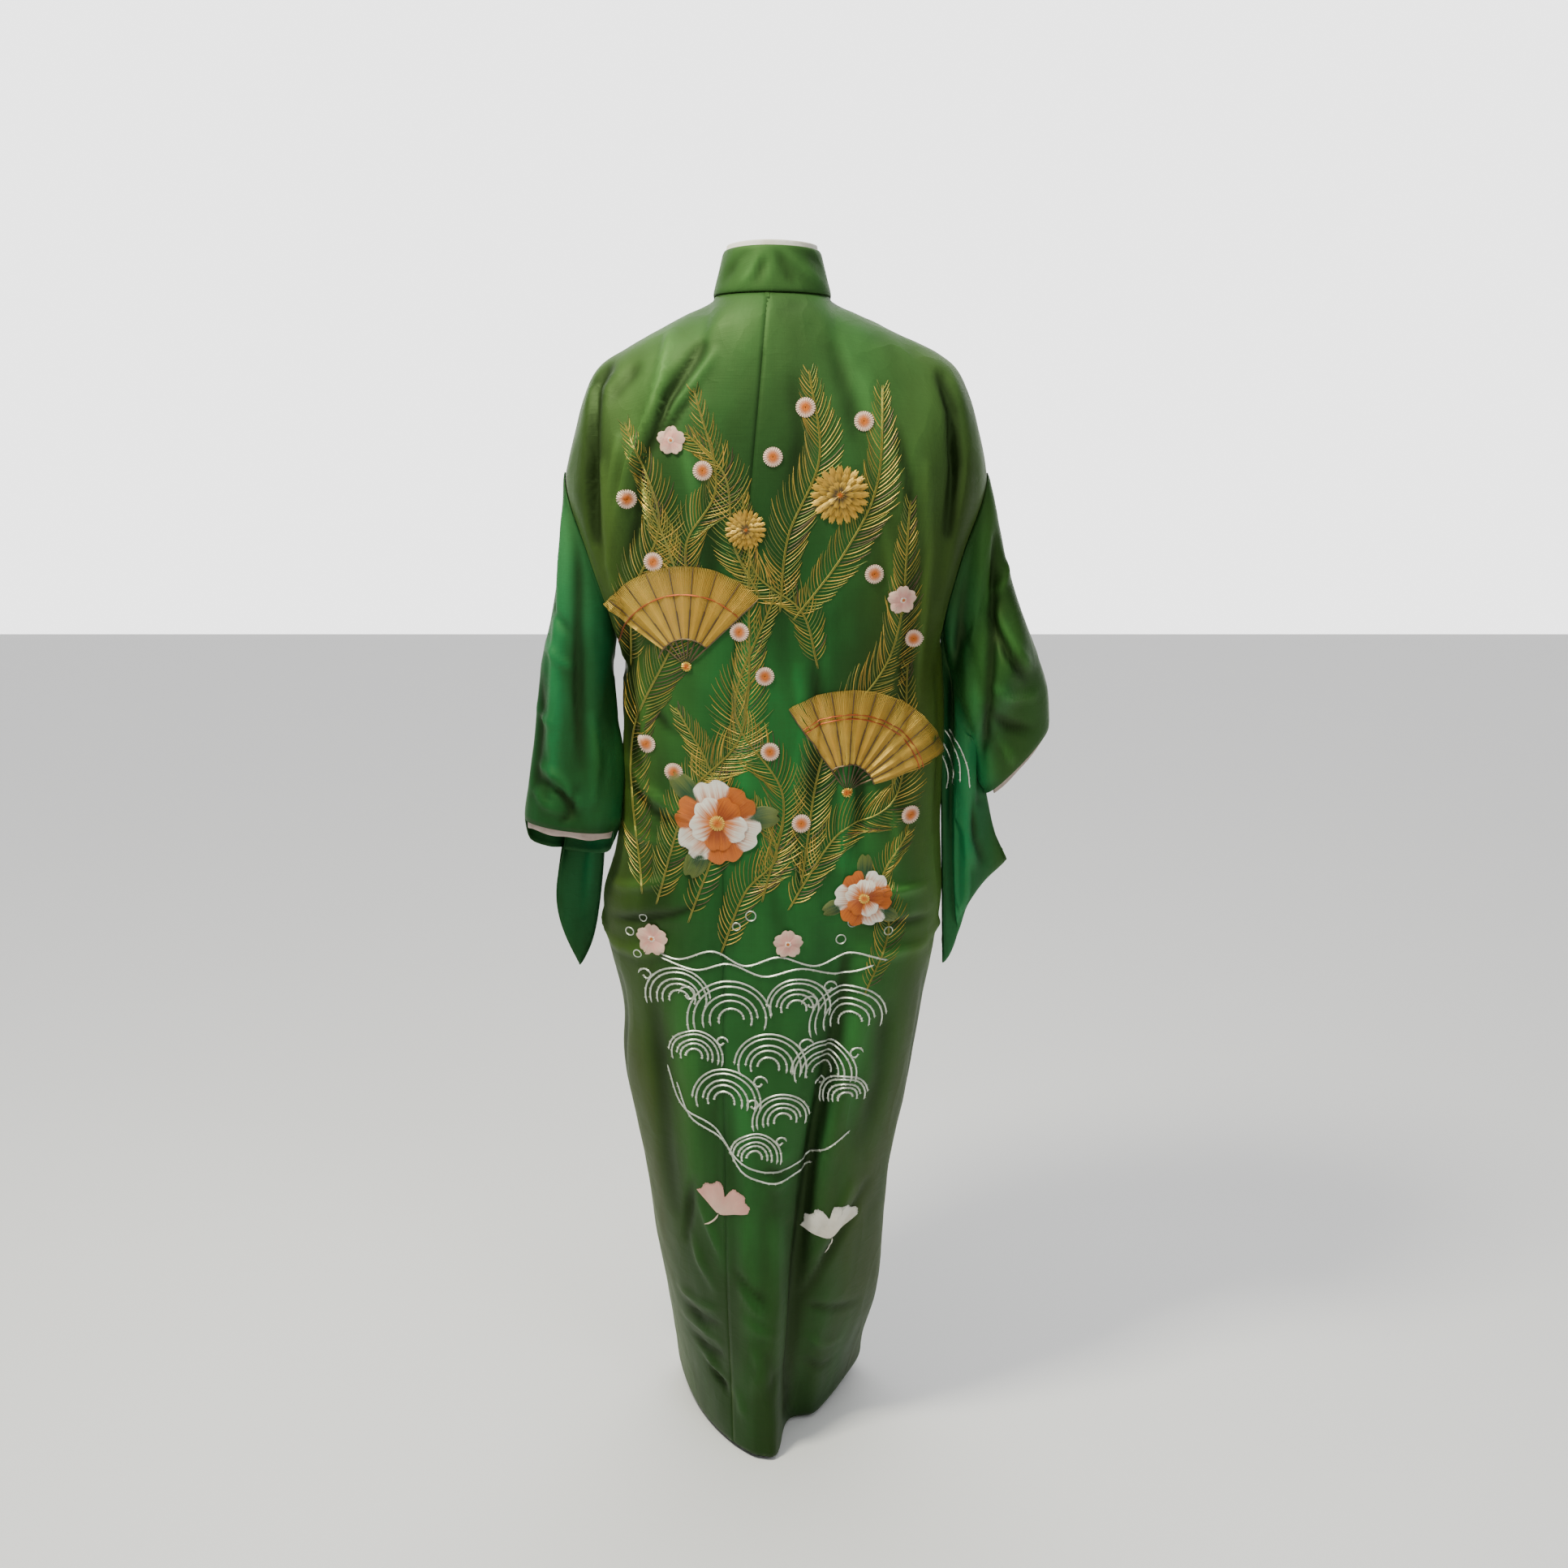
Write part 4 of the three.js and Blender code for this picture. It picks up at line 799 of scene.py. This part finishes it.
FANS = [((98, 1062), 74, 62, 34, 122), ((-96, 905), 112, 56, 34, 128)]
CAMELLIAS = [((62, 868), 56, 0.3), ((-118, 770), 38, 1.1)]
GOLD_MUMS = [((-84, 1268), 36), ((26, 1228), 25)]
BLOSSOMS = [((146, 712), 21), ((-24, 716), 19), ((-160, 1142), 18), ((112, 1330), 17)]
BUDS = [
    (166, 1262), (136, 1188), (150, 960), (34, 1106), (4, 1052), (-2, 958), (-40, 868), (-176, 1092),
    (-126, 1174), (-176, 868), (-44, 1368), (-112, 1352), (76, 1296), (-6, 1312), (116, 928),
]
WAVES = [
    (112, 636, 46), (46, 612, 58), (-34, 628, 44), (-104, 604, 54), (96, 560, 38), (2, 548, 50),
    (-66, 536, 46), (58, 500, 48), (-18, 474, 40), (-98, 500, 34), (20, 424, 36),
]
SLEEVE_STREAMS = [
    [(-222, 962), (-232, 946), (-240, 924), (-242, 898)],
    [(-220, 946), (-228, 930), (-234, 912), (-234, 890)],
    [(-219, 930), (-225, 916), (-228, 900), (-226, 884)],
    [(-228, 962), (-240, 944), (-250, 918), (-254, 890)],
]
STREAMS = [
    [(156, 706), (116, 690), (70, 704), (30, 686), (-14, 698), (-60, 684), (-104, 698), (-150, 684)],
    [(136, 690), (92, 678), (50, 688), (6, 672), (-40, 682), (-86, 670), (-132, 680)],
    [(130, 540), (112, 490), (70, 462), (40, 420), (-8, 400), (-60, 420), (-104, 450)],
    [(118, 520), (100, 474), (60, 446), (34, 404), (-10, 386), (-56, 402)],
]
RINGS = [(176, 716), (158, 738), (166, 690), (-90, 716), (-104, 738), (40, 738), (22, 752), (-150, 722)]
GINKGO = [((-82, 290), 50, 84, CREAM, WHITE), ((66, 340), 46, 108, PALE_PINK, PINK)]


def curve_points(line, count):
    """Even points along a smooth curve through the places of a line."""
    line = [np.array(place, float) for place in line]
    line = [2 * line[0] - line[1], *line, 2 * line[-1] - line[-2]]
    found = []
    for step in range(count + 1):
        share = step / count * (len(line) - 3)
        leg = min(int(share), len(line) - 4)
        t = share - leg
        a, b, c, d = line[leg : leg + 4]
        square = (2 * a - 5 * b + 4 * c - d) * t * t
        cube = (3 * b - a - 3 * c + d) * t**3
        found.append(0.5 * (2 * b + (c - a) * t + square + cube))
    return found


def mixed(first, second, share):
    share = min(1.0, max(0.0, share))
    return tuple(a + (b - a) * share for a, b in zip(first, second))


def turned(angle, length):
    """A step of some length in the direction of an angle."""
    return np.array((math.cos(angle), math.sin(angle))) * length


def spoke(place, angle, start, end, steps):
    """Even points straight out from a place, between two distances from it."""
    return [place + turned(angle, start + (end - start) * step / steps) for step in range(steps + 1)]


class Needlework:
    """Raised threads laid on the cloth, gathered into one piece."""

    def __init__(self, ground, seed):
        self.ground = ground
        self.chance = random.Random(seed)
        self.places = []
        self.faces = []
        self.dyes = []
        self.lengths = []

    def touch(self, across, height):
        """The place and normal of the cloth straight in from behind, where it faces the back."""
        start = Vector((across * MM, TOUCH_FROM, (height - NECK_BASE) * MM))
        for tree in self.ground:
            place, normal, _, _ = tree.ray_cast(start, Vector((0, -1, 0)), TOUCH_DEPTH)
            if place and normal.y > LEAST_FACING:
                return place, normal
        return None

    def strand(self, line, radius, dyes, lift=0.25, ends=0.25):
        """One thread along a line of places: a ridge of three sides that thins towards its ends."""
        laid = [(i, self.touch(*place)) for i, place in enumerate(line)]
        if len(laid) < 2 or any(found is None for _, found in laid):
            return
        last = len(laid) - 1
        run = 0.0
        for i, (place, normal) in laid:
            behind = laid[max(0, i - 1)][1][0]
            ahead = laid[min(last, i + 1)][1][0]
            side = (ahead - behind).cross(normal).normalized()
            thick = radius * MM * (1.0 if 0 < i < last else ends)
            foot = place + normal * lift * MM
            self.places += [foot - side * thick, foot + side * thick, foot + normal * thick * 1.1]
            run += (place - behind).length
            step = min(len(dyes) - 1, i * len(dyes) // (last + 1))
            self.dyes += [dyes if isinstance(dyes[0], float) else dyes[step]] * 3
            self.lengths += [run] * 3
            if i:
                new = len(self.places) - 3
                old = new - 3
                self.faces += [(old + 2, old + 1, new + 1, new + 2), (old, old + 2, new + 2, new)]
                self.faces.append((old + 1, old, new, new + 1))

    def fern(self, row):
        """A frond: its stem, and barbs on both sides that lean towards the tip."""
        *line, reach = row
        count = int(math.dist(line[0], line[-1]) / FERN_BARBS)
        stem = curve_points(line, count)
        for shift in (-0.7, 0.7):
            self.strand([place + (shift, 0) for place in stem], 0.6, OLIVE_GOLD, lift=0.5)
        for side in (-1, 1):
            for i in range(2, count):
                share = i / count
                along = stem[i + 1] - stem[i - 1]
                heading = math.atan2(along[1], along[0])
                lean = side * (1.12 - 0.42 * share + self.chance.uniform(-0.06, 0.06))
                length = FERN_REACH * reach * math.sin(math.pi * (0.12 + 0.82 * share)) ** 0.8
                length *= self.chance.uniform(0.84, 1.08)
                barb = [stem[i]]
                for step in range(1, 6):
                    barb.append(barb[-1] + turned(heading + lean * (1 - 0.11 * step), length / 5))
                dark = MOSS if side < 0 else UMBER
                dye = self.chance.choice((GOLD, OLIVE_GOLD, OLIVE_GOLD, OLD_GOLD, MOSS, dark))
                self.strand(barb, 0.55, dye, ends=0.3)

    def fan(self, place, heading, spread, inner, outer):
        """A folding fan, with pleats of laid gold between dark ribs, a rim and a round boss where the ribs
        meet.
        """
        for pleat in range(PLEATS):
            for k in range(PLEAT_THREADS):
                within = (k + 0.5) / PLEAT_THREADS
                share = (pleat + within) / PLEATS
                angle = math.radians(heading + spread * (2 * share - 1))
                ridge = 1 - abs(2 * within - 1)
                dye = mixed(OLD_GOLD, GOLD, 0.35 + ridge * 0.6 + self.chance.uniform(-0.15, 0.15))
                line = spoke(place, angle, inner, outer, 9)
                self.strand(line, 0.78, dye, lift=0.8 + ridge * 1.6, ends=0.7)
        for rib in range(PLEATS + 1):
            angle = math.radians(heading + spread * (2 * rib / PLEATS - 1))
            self.strand(spoke(place, angle, 6, outer, 12), 1.0, UMBER, lift=1.3)
        for radius, dye in ((inner, UMBER), (outer, UMBER), (outer * 0.72, RUST), (outer * 0.76, RUST)):
            arc = []
            for step in range(41):
                angle = math.radians(heading + spread * (step / 20 - 1))
                arc.append(place + turned(angle, radius))
            self.strand(arc, 1.0, dye, lift=2.2)
        self.disc(place, 6, ORANGE, GOLD, 1.5)

    def petal(self, place, angle, length, width, inner, outer, lift):
        """Satin stitches from the heart of a flower to a petal's rounded edge."""
        count = max(7, int(width * 1.1))
        for k in range(count):
            s = (2 * (k + 0.5) / count - 1) * 0.97
            notch = 1 - 0.10 * math.exp(-((s / 0.22) ** 2))
            reach = length * (0.45 + 0.55 * math.sqrt(1 - s * s)) * notch
            side = turned(angle + math.pi / 2, width / 2)
            line = []
            for step in range(7):
                t = step / 6
                open_up = math.sin(min(1.0, t * 1.25) * math.pi / 2)
                line.append(place + turned(angle, reach * t) + side * s * (0.15 + 0.85 * open_up))
            edge = self.chance.uniform(-0.16, 0.16)
            dyes = [mixed(inner, outer, (step / 6 - 0.38 + edge) * 2.1) for step in range(7)]
            self.strand(line, width / count * 0.72, dyes, lift=lift + 1.5 * (1 - s * s), ends=0.6)

    def disc(self, place, radius, inner, outer, lift=0.8):
        """A small round head of satin stitches."""
        count = max(10, int(radius * 2.2))
        for k in range(count):
            angle = 2 * math.pi * k / count
            line = spoke(place, angle, radius * 0.06, radius, 4)
            dyes = [mixed(inner, outer, (step / 4 - 0.42) * 4) for step in range(5)]
            self.strand(line, math.pi * radius / count * 0.9, dyes, lift=lift, ends=0.7)

    def camellia(self, place, radius, turn):
        """A full flower in two rings of petals, orange at the heart and white at the edges, with leaves."""
        for k, length in enumerate((1.5, 1.35, 1.45)):
            angle = turn + 2.2 * k + 0.5
            foot = place + turned(angle, radius * 0.55)
            self.petal(foot, angle, radius * length * 0.62, radius * 0.52, LEAF, MOSS, 0.3)
        for ring, (count, reach) in enumerate(((6, 1.0), (5, 0.66))):
            for k in range(count):
                angle = turn + 2 * math.pi * (k + 0.5 * ring) / count
                pair = (ORANGE, WHITE) if (k + ring) % 2 else (RUST, ORANGE)
                length = radius * reach * self.chance.uniform(0.94, 1.04)
                self.petal(place, angle, length, radius * reach * 1.0, pair[0], pair[1], 0.9 + 1.5 * ring)
        self.disc(place, radius * 0.17, ORANGE, GOLD, 4.4)

    def blossom(self, place, radius):
        for k in range(5):
            angle = math.pi / 2 + 2 * math.pi * k / 5
            self.petal(place, angle, radius, radius * 0.95, PINK, PALE_PINK, 0.8)
        self.disc(place, radius * 0.2, ORANGE, WHITE, 2.6)

    def mum(self, place, radius):
        """A gold chrysanthemum of three rings of narrow petals."""
        for ring, reach in enumerate((1.0, 0.74, 0.46)):
            count = 20 - 5 * ring
            for k in range(count):
                angle = 2 * math.pi * (k + 0.5 * ring) / count
                width = 2 * math.pi * radius * reach / count * 0.85
                self.petal(place, angle, radius * reach, width, UMBER, GOLD, 0.6 + 1.1 * ring)
        self.disc(place, radius * 0.15, ORANGE, OLD_GOLD, 4.0)

    def ginkgo(self, place, radius, heading, inner, outer):
        """A fan-shaped leaf with a notch and a stalk."""
        count = int(radius * 1.5)
        for k in range(count):
            s = 2 * (k + 0.5) / count - 1
            angle = math.radians(heading + 62 * s)
            reach = radius * (1 - 0.38 * math.exp(-((s / 0.12) ** 2)) - 0.14 * s * s)
            reach *= 1 + 0.04 * math.sin(s * 17) + self.chance.uniform(-0.015, 0.015)
            line = spoke(place, angle, reach * 0.05, reach, 8)
            dyes = [mixed(inner, outer, step / 8 + self.chance.uniform(-0.2, 0.2)) for step in range(9)]
            self.strand(line, radius * 1.1 / count, dyes, lift=0.7, ends=0.7)
        back = math.radians(heading + 180)
        stalk = [place + turned(back + 0.1 * step, 5.0 * step) for step in range(6)]
        self.strand(stalk, 1.1, inner, lift=0.7)

    def cord(self, line, radius=1.2):
        """A couched cord with its small tying stitches."""
        self.strand(line, radius, SILVER, lift=0.5)
        for i in range(2, len(line) - 1, 3):
            along = line[i + 1] - line[i - 1]
            side = np.array((-along[1], along[0])) / max(1e-6, math.hypot(*along)) * radius * 1.5
            self.strand([line[i] - side, line[i], line[i] + side], 0.5, WHITE, lift=1.4)

    def wave(self, across, height, radius):
        """A curling wave: arcs inside each other with a tight curl at the crest."""
        middle = np.array((across, height), float)
        flip = self.chance.choice((-1, 1))
        for k, share in enumerate((1.0, 0.86, 0.66, 0.5, 0.3)):
            arc = []
            for step in range(37):
                angle = math.radians(-20 + (196 + 22 * (k % 2)) * step / 36)
                reach = radius * share * (1 - 0.0045 * step)
                arc.append(middle + turned(angle, reach) * (flip, 1))
            self.cord(arc)
        crest = middle + (flip * radius * 0.95, radius * 0.55)
        curl = []
        for step in range(16):
            curl.append(crest + turned(0.42 * step, radius * 0.22 * (1 - step / 20)) * (flip, 1))
        self.cord(curl)

    def ring(self, place, radius):
        loop = [place + turned(2 * math.pi * step / 18, radius) for step in range(19)]
        self.strand(loop, 0.8, SILVER, ends=1.0)

    def piece(self, name, finish, slot):
        mesh = bpy.data.meshes.new(name)
        mesh.from_pydata([tuple(place) for place in self.places], [], self.faces)
        dye = mesh.color_attributes.new("dye", "FLOAT_COLOR", "POINT")
        dye.data.foreach_set("color", [part for tint in self.dyes for part in (*tint, 1.0)])
        along = mesh.uv_layers.new(name="strands")
        for loop in mesh.loops:
            corner = loop.vertex_index
            along.data[loop.index].uv = (corner % 3 * 0.5, self.lengths[corner])
        mesh.materials.append(finish)
        piece = add_object(name, mesh)
        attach(piece, "root")


ground = [outer_sheets["left_body_cloth"], outer_sheets["right_body_cloth"]]

gold = Needlework(ground, 3)
for row in FRONDS:
    gold.fern(row)
for row in FANS:
    gold.fan(*row)
for row in GOLD_MUMS:
    gold.mum(*row)
gold.piece("gold_needlework", thread("gold thread", 0.55, 0.34), "gold_thread")

silver = Needlework([*ground, outer_sheets["right_sleeve_cloth"]], 5)
for row in WAVES:
    silver.wave(*row)
for row in STREAMS:
    silver.cord(curve_points(row, STREAM_STEPS))
for row in SLEEVE_STREAMS:
    silver.cord(curve_points(row, SLEEVE_STREAM_STEPS), radius=0.9)
for place in RINGS:
    silver.ring(place, silver.chance.uniform(*RING_RADII))
silver.piece("silver_needlework", thread("silver thread", 0.6, 0.3), "silver_thread")

floss = Needlework(ground, 7)
for row in CAMELLIAS:
    floss.camellia(*row)
for row in BLOSSOMS:
    floss.blossom(*row)
for place in BUDS:
    floss.disc(place, BUD_RADIUS, ORANGE, PALE_PINK)
for row in GINKGO:
    floss.ginkgo(*row)
floss.piece("floss_needlework", thread("silk floss", 0.0, 0.5), "coloured_floss")


# The floor, the light and the camera

def floor_finish():
    paint = Finish("pale floor")
    pale = paint.blend(paint.noise(3.0, 2.0), (0.95, 0.95, 0.95, 1), (0.931, 0.931, 0.931, 1))
    paint.set(Base_Color=pale, Roughness=0.8)
    return paint.material


deselect()
bpy.ops.mesh.primitive_plane_add(size=12, location=(0, 0, FLOOR))
floor = bpy.context.object
floor.name = "pale_floor"
floor.data.materials.append(floor_finish())

# The surroundings are dim but for a pale wall beyond the garment.
world = bpy.data.worlds.new("pale wall")
bpy.context.scene.world = world
world.use_nodes = True
shades = world.node_tree
towards = shades.nodes.new("ShaderNodeTexCoord")
split = shades.nodes.new("ShaderNodeSeparateXYZ")
wall = shades.nodes.new("ShaderNodeMapRange")
shades.links.new(towards.outputs["Generated"], split.inputs[0])
shades.links.new(split.outputs["Y"], wall.inputs["Value"])
for socket, number in {"From Min": -0.55, "From Max": -0.8, "To Min": 0.18, "To Max": 3.2}.items():
    wall.inputs[socket].default_value = number
shades.links.new(wall.outputs[0], shades.nodes["Background"].inputs["Strength"])
shades.nodes["Background"].inputs["Color"].default_value = (1, 1, 1, 1)


def soft_light(name, place, aim, size, power, colour):
    lamp = bpy.data.lights.new(name, "AREA")
    lamp.shape = "RECTANGLE"
    lamp.size, lamp.size_y = size
    lamp.energy = power
    lamp.color = colour
    holder = add_object(name, lamp)
    holder.location = place
    holder.rotation_euler = (Vector(aim) - Vector(place)).to_track_quat("-Z", "Y").to_euler()


soft_light("overhead lamp", (0.75, 0.62, 1.25), (0, 0, -0.35), (0.35, 0.35), 56, (1.0, 0.98, 0.80))
soft_light("fill lamp", (-1.3, 2.0, 0.7), (0, 0, -0.5), (0.9, 0.9), 14, (0.95, 1.0, 0.98))

# Soft light from straight above makes the floor pale and hardly reaches upright cloth.
sky = bpy.data.lights.new("sky light", "SUN")
sky.energy = 1.2
sky.angle = math.radians(50)
add_object("sky light", sky)

camera = bpy.data.cameras.new("view from behind")
camera.lens = CAMERA_LENS
camera.sensor_width = SENSOR
eye = add_object("view from behind", camera)
eye.location = CAMERA_PLACE
eye.rotation_euler = (math.radians(90 - CAMERA_PITCH), 0, math.pi)
bpy.context.scene.camera = eye

bpy.context.view_layer.update()
